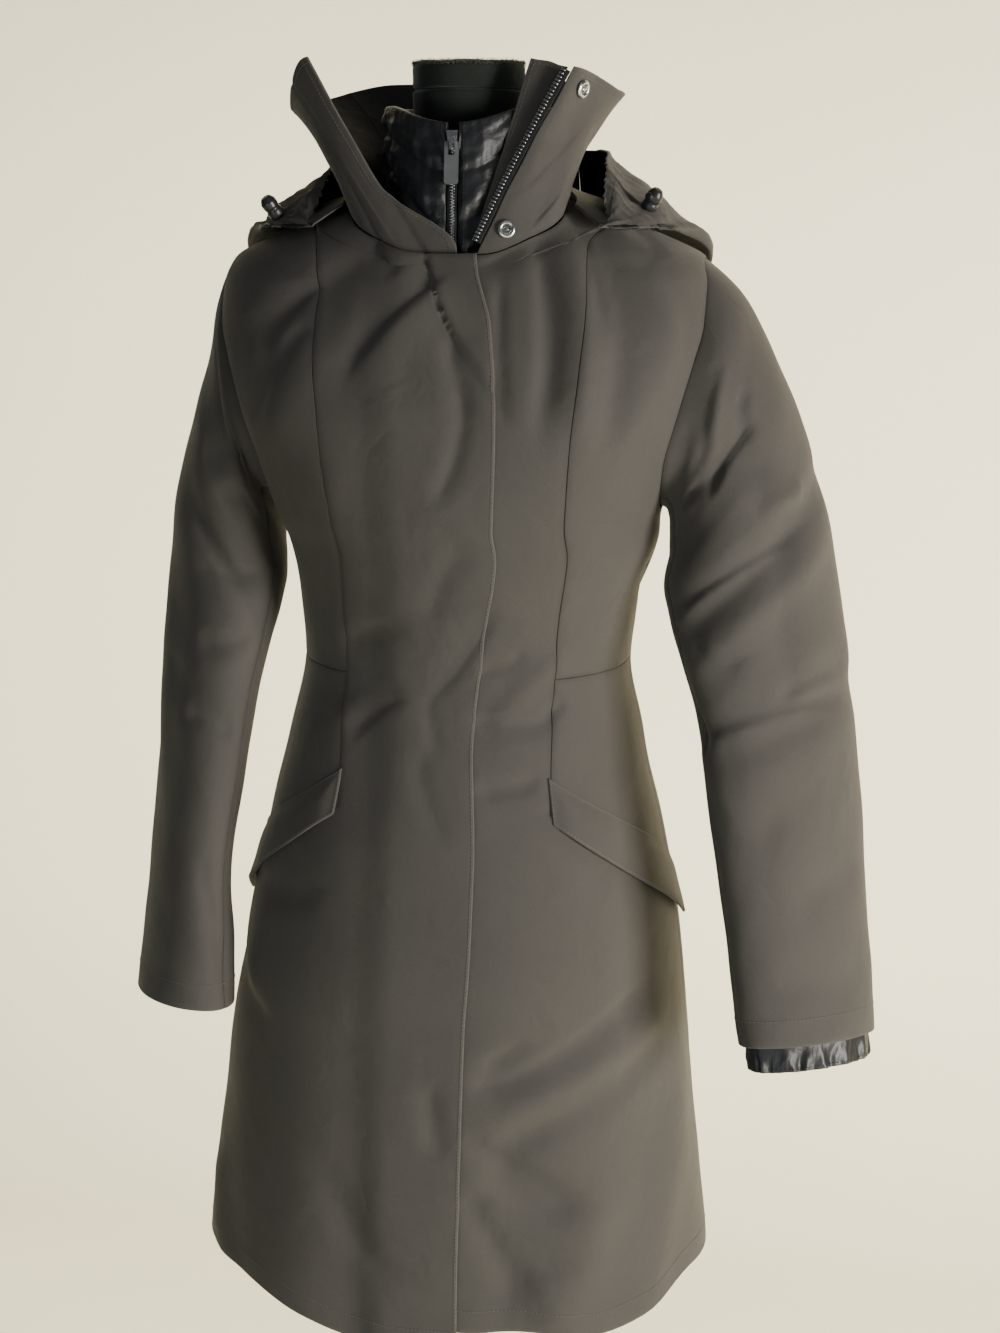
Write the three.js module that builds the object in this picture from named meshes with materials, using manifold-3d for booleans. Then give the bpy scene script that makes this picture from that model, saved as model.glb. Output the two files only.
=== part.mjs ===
// A long fitted parka with its quilted liner collar, worn by a limbless dress form on a stand.
// Millimetres, +Z up. The coat's front faces -Y, and +X is the wearer's left.
// The origin is the middle of the stand's underside.

import * as THREE from 'three';
import { mergeVertices } from 'three/addons/utils/BufferGeometryUtils.js';
import Module from 'manifold-3d';

// Driving dimensions
const WALL = 3;
const ARMHOLE_GAP = 0.85;
const SEAM = 0.3;
const LAYER_GAP = 0.9;
const NECK_GAP = 0.8;
const HEM = 500;
const POCKET_OUTER = 842;
const POCKET_INNER = 957;
const WAIST = 1066;
const UNDERARM = 1195;
const SHOULDER_TIP = 1400;
const NECKLINE_FROM = 1340;
const NECK_BASE = 1450;
const NECK_TOP = 1552;
const NECK_RADIUS = 45;
const FORM_BOTTOM = 770;
const FORM_CLEARANCE = 12;
const SHOULDER_SEAT = 0.8;
const FORM_NECK_ROOM = 24;
const ARMHOLE_STEPS = 12;
const SHOULDER_MEETS_PRINCESS = 1433;
const POLE_RADIUS = 14;
const BASE_RADIUS = 190;
const BASE_HEIGHT = 18;
const NECK_RIM = { band: 22, chamfer: 4 };
const POLE_FOOT = { flare: 14, flareTop: 12, low: 10, high: 26 };
const BASE_EDGE = 6;

// The coat's own rings: half width, depth in front and behind, squareness of the ring
const BODY_ROWS = [
  { z: 470, half: 231, front: 171, back: 172, square: 2.35, middle: -13 },
  { z: 534, half: 227, front: 168, back: 170, square: 2.35, middle: -13 },
  { z: 650, half: 214, front: 161, back: 163, square: 2.3, middle: -12 },
  { z: 777, half: 199, front: 153, back: 156, square: 2.3, middle: -10 },
  { z: 836, half: 190, front: 148, back: 151, square: 2.3, middle: -7 },
  { z: 921, half: 172, front: 138, back: 140, square: 2.25, middle: -5 },
  { z: 994, half: 155, front: 124, back: 120, square: 2.2, middle: -4 },
  { z: 1066, half: 141, front: 113, back: 99, square: 2.2, middle: -2 },
  { z: 1120, half: 145, front: 118, back: 101, square: 2.25, middle: 0 },
  { z: 1168, half: 156, front: 126, back: 108, square: 2.35, middle: 4 },
  { z: 1195, half: 163, front: 131, back: 111, square: 2.45, middle: 0 },
  { z: 1235, half: 176, front: 135, back: 115, square: 2.6, middle: 0 },
  { z: 1273, half: 190, front: 134, back: 116, square: 2.7, middle: 0 },
  { z: 1320, half: 203, front: 124, back: 113, square: 2.7, middle: 0 },
  { z: 1350, half: 208, front: 114, back: 107, square: 2.65, middle: 0 },
  { z: 1380, half: 205, front: 102, back: 98, square: 2.5, middle: 0 },
  { z: 1400, half: 194, front: 93, back: 90, square: 2.35, middle: 0 },
  { z: 1415, half: 165, front: 86, back: 83, square: 2.25, middle: 0 },
  { z: 1430, half: 125, front: 78, back: 77, square: 2.2, middle: 0 },
  { z: 1450, half: 75, front: 66, back: 70, square: 2.1, middle: 0 },
];
const NECKLINE_ROWS = [
  { angle: 0, z: 1403 },
  { angle: 18, z: 1404 },
  { angle: 38, z: 1416 },
  { angle: 62, z: 1436 },
  { angle: 90, z: 1450 },
  { angle: 135, z: 1447 },
  { angle: 180, z: 1444 },
];
const HEM_ROWS = [
  { angle: -180, z: 502 },
  { angle: -120, z: 508 },
  { angle: -90, z: 521 },
  { angle: -72, z: 524 },
  { angle: -52, z: 520 },
  { angle: -35, z: 505 },
  { angle: -20, z: 492 },
  { angle: 10.5, z: 491 },
  { angle: 14, z: 514 },
  { angle: 32, z: 514 },
  { angle: 46, z: 504 },
  { angle: 60, z: 511 },
  { angle: 75, z: 527 },
  { angle: 90, z: 525 },
  { angle: 120, z: 508 },
  { angle: 180, z: 502 },
];
const SEAM_ROWS = [
  { z: 950, princess: 89, back: 92 },
  { z: 1066, princess: 87, back: 84 },
  { z: 1148, princess: 91, back: 88 },
  { z: 1272, princess: 100, back: 100 },
  { z: 1434, princess: 108, back: 108 },
];
const FLY_ROWS = [
  { z: 500, edge: 28 },
  { z: 916, edge: 31 },
  { z: 1020, edge: 26 },
  { z: 1150, edge: 37 },
  { z: 1270, edge: 43 },
  { z: 1350, edge: 36 },
  { z: 1403, edge: 22 },
];
const ARMHOLE_ROWS = [
  { z: 1195, edge: 163 },
  { z: 1235, edge: 167 },
  { z: 1273, edge: 177 },
  { z: 1320, edge: 190 },
  { z: 1350, edge: 197 },
  { z: 1380, edge: 198 },
  { z: 1400, edge: 194 },
];
// Largest folds of the body: where each line starts and ends, its width and its rise
const BODY_FOLDS = [
  { fromAngle: 60, fromZ: 1424, toAngle: 49, toZ: 1270, width: 10, rise: -6 },
  { fromAngle: 48, fromZ: 1410, toAngle: 41, toZ: 1290, width: 9, rise: 4 },
  { fromAngle: 39, fromZ: 1400, toAngle: 32, toZ: 1280, width: 9, rise: -4 },
  { fromAngle: 70, fromZ: 1405, toAngle: 61, toZ: 1300, width: 10, rise: 3.5 },
  { fromAngle: -28, fromZ: 1370, toAngle: -56, toZ: 1262, width: 20, rise: 3.5 },
  { fromAngle: -38, fromZ: 1400, toAngle: -66, toZ: 1330, width: 14, rise: -3 },
  { fromAngle: 20, fromZ: 1040, toAngle: 44, toZ: 1082, width: 11, rise: 3 },
  { fromAngle: -20, fromZ: 1050, toAngle: -44, toZ: 1030, width: 12, rise: 2.5 },
  { fromAngle: 66, fromZ: 772, toAngle: 20, toZ: 706, width: 15, rise: 5 },
  { fromAngle: 66, fromZ: 740, toAngle: 20, toZ: 672, width: 13, rise: -4.5 },
  { fromAngle: 18, fromZ: 650, toAngle: 36, toZ: 616, width: 12, rise: -4.5 },
  { fromAngle: 76, fromZ: 700, toAngle: 58, toZ: 505, width: 16, rise: 5 },
  { fromAngle: 48, fromZ: 620, toAngle: 34, toZ: 500, width: 14, rise: 4 },
  { fromAngle: -60, fromZ: 700, toAngle: -50, toZ: 500, width: 20, rise: 3 },
  { fromAngle: -88, fromZ: 760, toAngle: -84, toZ: 520, width: 18, rise: -4 },
  { fromAngle: 130, fromZ: 900, toAngle: 122, toZ: 520, width: 22, rise: 5 },
  { fromAngle: -132, fromZ: 880, toAngle: -126, toZ: 520, width: 22, rise: 5 },
  { fromAngle: 165, fromZ: 1090, toAngle: 120, toZ: 1060, width: 13, rise: -3 },
  { fromAngle: -165, fromZ: 1085, toAngle: -120, toZ: 1050, width: 13, rise: -3 },
];
const MM_PER_DEGREE = 2.5;
// A fold fades out past its ends, in shares of its length
const FOLD_END = { past: 0.25, over: 0.4 };
const FOLD_FREE_FRONT = { from: 29, over: 48 };
const HEM_WAVE = { rise: 3.2, count: 9, phase: 20, reach: 330 };

// Sleeve rings below the armhole: centre, tilt of the ring, half widths, turn of its flat face
const LEFT_SLEEVE = [
  { x: 197, y: -4, z: 1281, tilt: 72, lean: 0, wide: 93, deep: 66, turn: 0 },
  { x: 211, y: -8, z: 1250, tilt: 61, lean: 2, wide: 84, deep: 63, turn: 4 },
  { x: 224, y: -13, z: 1212, tilt: 45, lean: 4, wide: 76, deep: 59, turn: 12 },
  { x: 233, y: -21, z: 1168, tilt: 28, lean: 7, wide: 77, deep: 53, turn: 25 },
  { x: 245, y: -31, z: 1115, tilt: 16, lean: 9, wide: 79, deep: 46, turn: 35 },
  { x: 261, y: -44, z: 1050, tilt: 11, lean: 10, wide: 75, deep: 42, turn: 38 },
  { x: 272, y: -60, z: 975, tilt: 8, lean: 11, wide: 74, deep: 38, turn: 38 },
  { x: 284, y: -78, z: 890, tilt: 7, lean: 12, wide: 70, deep: 35, turn: 38 },
  { x: 293, y: -94, z: 820, tilt: 6, lean: 12, wide: 67, deep: 33, turn: 36 },
  { x: 299, y: -106, z: 774, tilt: 5, lean: 12, wide: 64, deep: 32, turn: 34 },
];
const RIGHT_SLEEVE = [
  { x: 190, y: -3, z: 1281, tilt: 77, lean: 0, wide: 87, deep: 66, turn: 0 },
  { x: 192, y: -6, z: 1250, tilt: 69, lean: 2, wide: 76, deep: 63, turn: 8 },
  { x: 199, y: -9, z: 1212, tilt: 55, lean: 4, wide: 66, deep: 59, turn: 20 },
  { x: 206, y: -14, z: 1168, tilt: 34, lean: 6, wide: 63, deep: 51, turn: 36 },
  { x: 213, y: -20, z: 1115, tilt: 16, lean: 7, wide: 67, deep: 44, turn: 50 },
  { x: 224, y: -28, z: 1050, tilt: 9, lean: 8, wide: 68, deep: 40, turn: 58 },
  { x: 232, y: -38, z: 975, tilt: 7, lean: 8, wide: 67, deep: 36, turn: 60 },
  { x: 242, y: -50, z: 890, tilt: 6, lean: 8, wide: 65, deep: 33, turn: 60 },
  { x: 242, y: -67, z: 820, tilt: 5, lean: 8, wide: 64, deep: 36, turn: 56 },
  { x: 243, y: -80, z: 766, tilt: 4, lean: 8, wide: 61, deep: 39, turn: 50 },
];
// Sleeve folds: turn round the ring from the outer seam towards the front, place along the rings
const LEFT_SLEEVE_FOLDS = [
  { fromTurn: 0, fromRing: 3.6, toTurn: 128, toRing: 5.0, width: 12, rise: -5 },
  { fromTurn: 20, fromRing: 4.4, toTurn: 132, toRing: 5.6, width: 12, rise: 4 },
  { fromTurn: -15, fromRing: 6.0, toTurn: 118, toRing: 6.6, width: 13, rise: -4 },
  { fromTurn: 100, fromRing: 1.6, toTurn: 62, toRing: 3.1, width: 11, rise: -5 },
  { fromTurn: 210, fromRing: 4.6, toTurn: 300, toRing: 5.2, width: 14, rise: -4 },
];
const RIGHT_SLEEVE_FOLDS = [
  { fromTurn: 60, fromRing: 3.8, toTurn: 140, toRing: 5.2, width: 13, rise: -4 },
  { fromTurn: 40, fromRing: 6.0, toTurn: 130, toRing: 6.6, width: 14, rise: -3 },
  { fromTurn: 105, fromRing: 1.6, toTurn: 70, toRing: 3.0, width: 12, rise: -4 },
  { fromTurn: 210, fromRing: 4.6, toTurn: 300, toRing: 5.2, width: 14, rise: -4 },
];
const SLEEVE_MM_PER_DEGREE = 1.0;
const SLEEVE_MM_PER_RING = 62;
const SLEEVE_FOLDS_FROM = 0.6;
const SLEEVE_SEAMS = { front: 150, back: 255, gap: 0.25 };

// The collar's free top edge, by angle round the neck, and how far each line bows
const COLLAR_TOP = [
  { angle: -180, x: 0, y: 96, z: 1540, bow: 6 },
  { angle: -140, x: -80, y: 80, z: 1538, bow: 8 },
  { angle: -105, x: -128, y: 38, z: 1524, bow: 10 },
  { angle: -72, x: -147, y: -4, z: 1516, bow: 8 },
  { angle: -42, x: -142, y: -24, z: 1532, bow: 4 },
  { angle: -13, x: -124, y: -40, z: 1555, bow: -3 },
  { angle: 13, x: 92, y: -57, z: 1545, bow: 2 },
  { angle: 38, x: 108, y: -36, z: 1539, bow: 5 },
  { angle: 70, x: 127, y: -2, z: 1526, bow: 8 },
  { angle: 105, x: 120, y: 40, z: 1530, bow: 10 },
  { angle: 140, x: 78, y: 80, z: 1540, bow: 8 },
  { angle: 180, x: 0, y: 96, z: 1540, bow: 6 },
];
const COLLAR_SPLITS = { right: -118, left: 118, front: 13, gap: 0.12 };
const FACING = {
  topX: 57, topY: -49, topZ: 1551, bottomX: 17, bottomY: -90, bottomZ: 1408,
  thick: 2, inwards: 6, edgeBehind: 4.2, behind: 2, up: 1.2, foot: 0.06,
};

// The hood lies folded back on the shoulders: its lowest fold and its free rim
const HOOD_ROWS = [
  { angle: 60, foldZ: 1418, x: 118, y: -52, z: 1436, bulge: 7 },
  { angle: 72, foldZ: 1415, x: 114, y: -30, z: 1457, bulge: 12 },
  { angle: 88, foldZ: 1412, x: 110, y: 14, z: 1476, bulge: 18 },
  { angle: 110, foldZ: 1375, x: 108, y: 62, z: 1484, bulge: 26 },
  { angle: 140, foldZ: 1300, x: 84, y: 112, z: 1486, bulge: 34 },
  { angle: 180, foldZ: 1262, x: 0, y: 134, z: 1480, bulge: 38 },
];
const HOOD_WALL = 2;
const HOOD_LIFT = 6;
const HOOD_SEAM_ANGLE = 146;
const HOOD_CURVE = { foldShare: 0.45, leave: 0.8, out: 0.5, rimOut: 1.3, rimDrop: 0.35, foot: 2 };
const CORD_LOCK = { radius: 6.5, length: 20, foot: 3, shoulder: 4 };
const CORD_LOCK_PLACES = [
  { word: 'right', side: -1, angle: -74, share: 0.66, seat: 1.4 },
  { word: 'left', side: 1, angle: 78, share: 0.72, seat: -0.4 },
];

// The liner's stand collar, padded, standing round the neck inside the shell
const LINER = {
  side: 66, front: 83, back: 64, topFront: 74, frontZ: 1400, topZ: 1503, sideTopZ: 1517, thick: 7,
  edge: 3.4, backSeam: 150, foot: 0.012,
};
const LINER_BOTTOM = [
  { angle: 0, z: 1391 },
  { angle: 15, z: 1397 },
  { angle: 30, z: 1420 },
  { angle: 45, z: 1437 },
  { angle: 60, z: 1448 },
  { angle: 75, z: 1450.4 },
];
const LINER_CHANNEL = { rise: 1.4, count: 3 };
const LINER_ZIP = { width: 9, thick: 1.6, top: 1497, foot: 0.02, margin: 0.6, sunk: 1.2 };
const SLIDER = {
  width: 9, height: 14, plate: 1.6, z: 1490, clear: 0.95, hole: 3.6, bar: 1.4, bridge: 2.6, leg: 2.8,
  sunk: 0.4, axisBelow: 2,
};
const TAB = {
  width: 11, length: 32, thick: 1.6, slot: 5.4, slotHeight: 9, bar: 1.6, rest: 8, corner: 2.5, chamfer: 1,
};
const SNAP = { radius: 7, hole: 3.4, height: 2, rim: 1.1 };
const SNAPS = [
  { name: 'snap_upper', angle: 30, share: 0.9 },
  { name: 'snap_lower', angle: 23, share: 0.12 },
];
const STUD = { angle: -19, share: 0.2, radius: 6, height: 2.4 };
const ZIP_TAPE = { width: 8, thick: 1.6, aside: 0.4, sunk: 0.5, foot: 0.05, head: 0.97 };
const POCKET_ZIP = { from: 78, to: 88, low: 0, high: 9, lift: 1.5, thick: 1.1 };
// A welt hangs a little below its pocket line, and stands open towards the side seam
const WELT = { below: 6, innerTall: 38, outerTall: 58, overlap: 0.6, endAngle: 91, seat: 0.4 };
const WELT_OPENING = { fromAngle: 60, angles: 26, fromHeight: 30, heights: 40, rise: 3 };
// The fly's lap: where the right front starts to lift off the left one, and over what width
const FLY_LAP = { from: -68, width: 34, underAngle: -4, hemAngle: 14 };
const LINER_CUFF = {
  inset: 3.2, thick: 2, from: 0.45, to: 1.44, taperWide: 3, taperDeep: 2, split: 150, gap: 0.3,
};
const LINER_CUFF_CRINKLE = { rise: 1.2, count: 9, from: 0.9, over: 0.6 };
// The dress form: its bare front below the neck, and the width of the seats at its shoulders
const FORM_FRONT = { fromZ: 1345, heights: 40, toAngle: 66, angles: 24 };
const FORM_SEAT = { fromZ: 1394, heights: 6, toAngle: 18, angles: 8 };
const FORM_FOOT_SHARE = 0.93;
const FORM_LEVELS = [
  770, 800, 850, 921, 994, 1066, 1120, 1180, 1235, 1300, 1350, 1380, 1400, 1416.5, 1433, 1441.7, 1450,
];

// Steps round and along a surface that its outward direction is taken over
const COAT_STEPS = [0.2, 0.5];
const SLEEVE_STEPS = [1, 0.04];
const COLLAR_STEPS = [0.3, 0.02];
const HOOD_STEPS = [0.3, 0.01];
const SLEEVE_ROWS = 15;
const HOOD_PROFILE_ROWS = 11;
const FORM_SIDES = 20;
const SNAP_SIDES = 12;
const CORD_LOCK_SIDES = 10;

const COLOURS = {
  shell: 0x55504b,
  lining: 0x1d2024,
  liner: 0x2b2e35,
  form: 0x1b1e20,
  steel: 0xb9bbbd,
  dark: 0x17181a,
  tab: 0x63676b,
};

const group = new THREE.Group();
const DEGREE = Math.PI / 180;
const LATHE_AXIS = new THREE.Vector3(0, 1, 0);

// Reads a named column of a table at a place between its rows, without overshoot
function read(rows, key, name, at) {
  const last = rows.length - 1;
  if (at <= rows[0][key]) return rows[0][name];
  if (at >= rows[last][key]) return rows[last][name];
  let i = 0;
  while (at > rows[i + 1][key]) i += 1;
  const slope = (k) => {
    if (k < 0 || k >= last) return 0;
    return (rows[k + 1][name] - rows[k][name]) / (rows[k + 1][key] - rows[k][key]);
  };
  const tangent = (k) => {
    const before = slope(k - 1);
    const after = slope(k);
    if (before * after <= 0) return 0;
    return (2 * before * after) / (before + after);
  };
  const span = rows[i + 1][key] - rows[i][key];
  const t = (at - rows[i][key]) / span;
  const a = rows[i][name];
  const b = rows[i + 1][name];
  const t2 = t * t;
  const t3 = t2 * t;
  return (2 * t3 - 3 * t2 + 1) * a + (t3 - 2 * t2 + t) * span * tangent(i)
    + (3 * t2 - 2 * t3) * b + (t3 - t2) * span * tangent(i + 1);
}

function smooth(t) {
  const s = Math.min(1, Math.max(0, t));
  return s * s * (3 - 2 * s);
}

function mix(a, b, t) {
  return a + (b - a) * t;
}

// How much a fold lifts a point: both are given in millimetres on the cloth
function foldRise(fold, across, along) {
  const dx = fold.toAcross - fold.fromAcross;
  const dy = fold.toAlong - fold.fromAlong;
  const length = Math.hypot(dx, dy);
  const px = across - fold.fromAcross;
  const py = along - fold.fromAlong;
  const t = (px * dx + py * dy) / (length * length);
  const { past, over } = FOLD_END;
  if (t < -past || t > 1 + past) return 0;
  const off = (px * dy - py * dx) / length;
  const end = smooth((t + past) / over) * smooth((1 + past - t) / over);
  return fold.rise * end * Math.exp(-(off * off) / (fold.width * fold.width));
}

const bodyFolds = BODY_FOLDS.map((row) => ({
  fromAcross: row.fromAngle * MM_PER_DEGREE,
  fromAlong: row.fromZ,
  toAcross: row.toAngle * MM_PER_DEGREE,
  toAlong: row.toZ,
  width: row.width,
  rise: row.rise,
}));

// Half depth of the ring at a height, where it is a given distance from the middle
function depthAt(across, z, side) {
  const half = read(BODY_ROWS, 'z', 'half', z);
  const square = read(BODY_ROWS, 'z', 'square', z);
  const ratio = Math.min(1, Math.abs(across) / half);
  return read(BODY_ROWS, 'z', side, z) * (1 - ratio ** square) ** (1 / square);
}

// Angle from the centre front to a point a given distance from the middle
function angleAt(across, z, side) {
  const depth = depthAt(across, z, side);
  return Math.atan2(across, side === 'front' ? depth : -depth) / DEGREE;
}

// A point of the coat's outer face: angle from the centre front, and height
function coat(angle, z, folded = true) {
  const s = Math.sin(angle * DEGREE);
  const c = Math.cos(angle * DEGREE);
  const square = read(BODY_ROWS, 'z', 'square', z);
  const half = read(BODY_ROWS, 'z', 'half', z);
  const depth = read(BODY_ROWS, 'z', c > 0 ? 'front' : 'back', z);
  const reach = (Math.abs(s / half) ** square + Math.abs(c / depth) ** square) ** (-1 / square);
  let rise = 0;
  for (const fold of folded ? bodyFolds : []) rise += foldRise(fold, angle * MM_PER_DEGREE, z);
  const wave = Math.sin(angle * DEGREE * HEM_WAVE.count + HEM_WAVE.phase);
  rise += HEM_WAVE.rise * wave * smooth(1 - (z - HEM) / HEM_WAVE.reach);
  if (c > 0) rise *= smooth((Math.abs(reach * s) - FOLD_FREE_FRONT.from) / FOLD_FREE_FRONT.over);
  const radius = reach + rise;
  const middle = read(BODY_ROWS, 'z', 'middle', z);
  return new THREE.Vector3(middle + radius * s, -radius * c, z);
}

// The outward direction of a surface, from its two parameters
function outward(point, u, v, du, dv, sign) {
  const across = point(u + du, v).sub(point(u - du, v));
  const along = point(u, v + dv).sub(point(u, v - dv));
  return across.cross(along).normalize().multiplyScalar(sign);
}

// One closed wall between an outer and an inner grid of points
function wallGeometry(columns, rows, outerAt, innerAt) {
  const positions = [];
  for (const at of [outerAt, innerAt]) {
    for (let j = 0; j <= rows; j += 1) {
      for (let i = 0; i <= columns; i += 1) {
        const p = at(i / columns, j / rows);
        positions.push(p.x, p.y, p.z);
      }
    }
  }
  const inner = (columns + 1) * (rows + 1);
  const id = (i, j) => j * (columns + 1) + i;
  const faces = [];
  const quad = (a, b, c, d) => faces.push(a, b, c, a, c, d);
  for (let j = 0; j < rows; j += 1) {
    for (let i = 0; i < columns; i += 1) {
      quad(id(i, j), id(i + 1, j), id(i + 1, j + 1), id(i, j + 1));
      quad(inner + id(i, j), inner + id(i, j + 1), inner + id(i + 1, j + 1), inner + id(i + 1, j));
    }
  }
  for (let i = 0; i < columns; i += 1) {
    quad(id(i, 0), inner + id(i, 0), inner + id(i + 1, 0), id(i + 1, 0));
    quad(id(i, rows), id(i + 1, rows), inner + id(i + 1, rows), inner + id(i, rows));
  }
  for (let j = 0; j < rows; j += 1) {
    quad(id(0, j), id(0, j + 1), inner + id(0, j + 1), inner + id(0, j));
    quad(id(columns, j), inner + id(columns, j), inner + id(columns, j + 1), id(columns, j + 1));
  }
  return closed(positions, faces);
}

// A geometry from points and faces, turned so that its faces point out
function closed(positions, faces) {
  let volume = 0;
  const p = (k) => new THREE.Vector3().fromArray(positions, 3 * k);
  for (let k = 0; k < faces.length; k += 3) {
    volume += p(faces[k]).dot(p(faces[k + 1]).cross(p(faces[k + 2])));
  }
  if (volume < 0) {
    for (let k = 0; k < faces.length; k += 3) {
      [faces[k], faces[k + 1]] = [faces[k + 1], faces[k]];
    }
  }
  const geometry = new THREE.BufferGeometry();
  geometry.setAttribute('position', new THREE.Float32BufferAttribute(positions, 3));
  geometry.setIndex(faces);
  geometry.computeVertexNormals();
  return geometry;
}

function add(name, geometry, colour, roughness = 0.8, metalness = 0) {
  const material = new THREE.MeshStandardMaterial({ color: colour, roughness, metalness });
  const mesh = new THREE.Mesh(geometry, material);
  mesh.name = name;
  group.add(mesh);
  return mesh;
}

// A cloth wall on a surface: point(u, v) in its own parameters, lifted off and thick inwards
function cloth(name, shape) {
  const { point, uv, columns, rows, lift, thick = WALL, steps = COAT_STEPS, sign = 1 } = shape;
  const at = (depth) => (s, t) => {
    const [u, v] = uv(s, t);
    const normal = outward(point, u, v, steps[0], steps[1], sign);
    const raised = lift ? lift(u, v) : 0;
    return point(u, v).addScaledVector(normal, raised - depth);
  };
  return add(name, wallGeometry(columns, rows, at(0), at(thick)), shape.colour ?? COLOURS.shell);
}

// Heights of a panel's rows, stepped between its named levels: evenly, or as round an armhole
function levels(spans) {
  const heights = [spans[0].z];
  for (let k = 1; k < spans.length; k += 1) {
    for (let i = 1; i <= spans[k].steps; i += 1) {
      const even = i / spans[k].steps;
      const share = spans[k].round ? (1 - Math.cos(Math.PI * even)) / 2 : even;
      heights.push(mix(spans[k - 1].z, spans[k].z, share));
    }
  }
  return heights;
}

// Height after the hem line and the neckline have bent the level rows
function bentHeight(angle, z) {
  const hem = read(HEM_ROWS, 'angle', 'z', angle);
  const neck = read(NECKLINE_ROWS, 'angle', 'z', Math.abs(angle));
  if (z < POCKET_OUTER) {
    return POCKET_OUTER - ((POCKET_OUTER - z) * (POCKET_OUTER - hem)) / (POCKET_OUTER - HEM);
  }
  if (z > NECKLINE_FROM) {
    return NECKLINE_FROM + ((z - NECKLINE_FROM) * (neck - NECKLINE_FROM)) / (NECK_BASE - NECKLINE_FROM);
  }
  return z;
}

// Angles of the long seams and edges at a height
function princess(z, side) {
  const name = side === 'front' ? 'princess' : 'back';
  if (z > SHOULDER_MEETS_PRINCESS) return 90;
  return angleAt(read(SEAM_ROWS, 'z', name, z), z, side);
}

function armEdge(z, side) {
  if (z <= UNDERARM || z >= SHOULDER_TIP) return 90;
  return angleAt(read(ARMHOLE_ROWS, 'z', 'edge', z), z, side);
}

function flyEdge(z) {
  return angleAt(read(FLY_ROWS, 'z', 'edge', z), z, 'front');
}

function pocketLine(angle) {
  const inner = princess(POCKET_INNER, 'front');
  return mix(POCKET_INNER, POCKET_OUTER, Math.min(1, Math.max(0, (angle - inner) / (90 - inner))));
}

// Outer edge of the centre front: princess seam, then the slanted pocket line, then the side seam
function frontOuterEdge(z) {
  if (z >= POCKET_INNER) return princess(z, 'front');
  if (z <= POCKET_OUTER) return 90;
  const inner = princess(POCKET_INNER, 'front');
  return mix(inner, 90, (POCKET_INNER - z) / (POCKET_INNER - POCKET_OUTER));
}

// A seam allowance in degrees, half a seam gap each side
function gapAngle(angle, z) {
  const perDegree = coat(angle + 0.5, z).distanceTo(coat(angle - 0.5, z));
  return SEAM / 2 / perDegree;
}

// A body panel between two edges, with its rows at named heights
function bodyPanel(name, { from, to, heights, columns, lift, side = 1, bottomGap = 0, hemFrom = 0 }) {
  const last = heights.length - 1;
  const edgeAt = (edge, z) => edge(bentHeight(side * edge(z), z));
  const uv = (s, t) => {
    let z = heights[Math.round(t * last)];
    if (t === 0) z += bottomGap;
    const start = edgeAt(from, z);
    const end = edgeAt(to, z);
    const angle = side * mix(start + gapAngle(start, z), end - gapAngle(end, z), s);
    return [angle, bentHeight(Math.max(angle, hemFrom), z)];
  };
  return cloth(name, { point: coat, uv, columns, rows: last, lift });
}

const FULL_HEIGHTS = [
  { z: HEM },
  { z: POCKET_OUTER, steps: 9 },
  { z: POCKET_INNER, steps: 5 },
  { z: WAIST, steps: 4 },
  { z: UNDERARM, steps: 5 },
  { z: SHOULDER_TIP, steps: ARMHOLE_STEPS, round: true },
  { z: SHOULDER_MEETS_PRINCESS, steps: 2 },
  { z: SHOULDER_MEETS_PRINCESS + 0.4, steps: 1 },
  { z: NECK_BASE, steps: 2 },
];

// The wearer's right front laps over the left one and stands one layer proud at its edge
function flyLift(angle, z) {
  const x = coat(angle, z).x - read(BODY_ROWS, 'z', 'middle', z);
  return (WALL + LAYER_GAP) * smooth((x - FLY_LAP.from) / FLY_LAP.width);
}

function centreFronts() {
  bodyPanel('front_right', {
    from: (z) => -flyEdge(z),
    to: frontOuterEdge,
    heights: levels(FULL_HEIGHTS),
    columns: 8,
    lift: flyLift,
    side: -1,
    hemFrom: -360,
  });
  bodyPanel('front_left', {
    from: () => FLY_LAP.underAngle,
    to: frontOuterEdge,
    heights: levels(FULL_HEIGHTS),
    columns: 8,
    hemFrom: FLY_LAP.hemAngle,
  });
}

function sideFronts() {
  for (const [word, side] of [['right', -1], ['left', 1]]) {
    bodyPanel(`side_front_bodice_${word}`, {
      from: (z) => princess(z, 'front'),
      to: (z) => armEdge(z, 'front'),
      heights: levels([
        { z: WAIST },
        { z: UNDERARM, steps: 5 },
        { z: SHOULDER_TIP, steps: ARMHOLE_STEPS, round: true },
        { z: SHOULDER_MEETS_PRINCESS, steps: 2 },
      ]),
      columns: 4,
      side,
      bottomGap: SEAM,
      hemFrom: -360,
    });
    const uv = (s, t) => {
      const inner = princess(POCKET_INNER, 'front');
      const bottom = pocketLine(mix(inner, 90, s)) + SEAM;
      const z = mix(bottom, WAIST, t);
      const edge = z > POCKET_INNER ? princess(z, 'front') : inner;
      const start = edge + gapAngle(edge, z);
      const end = 90 - gapAngle(90, z);
      return [side * mix(start, end, s), z];
    };
    cloth(`side_front_hip_${word}`, { point: coat, uv, columns: 5, rows: 8 });
  }
}

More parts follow.
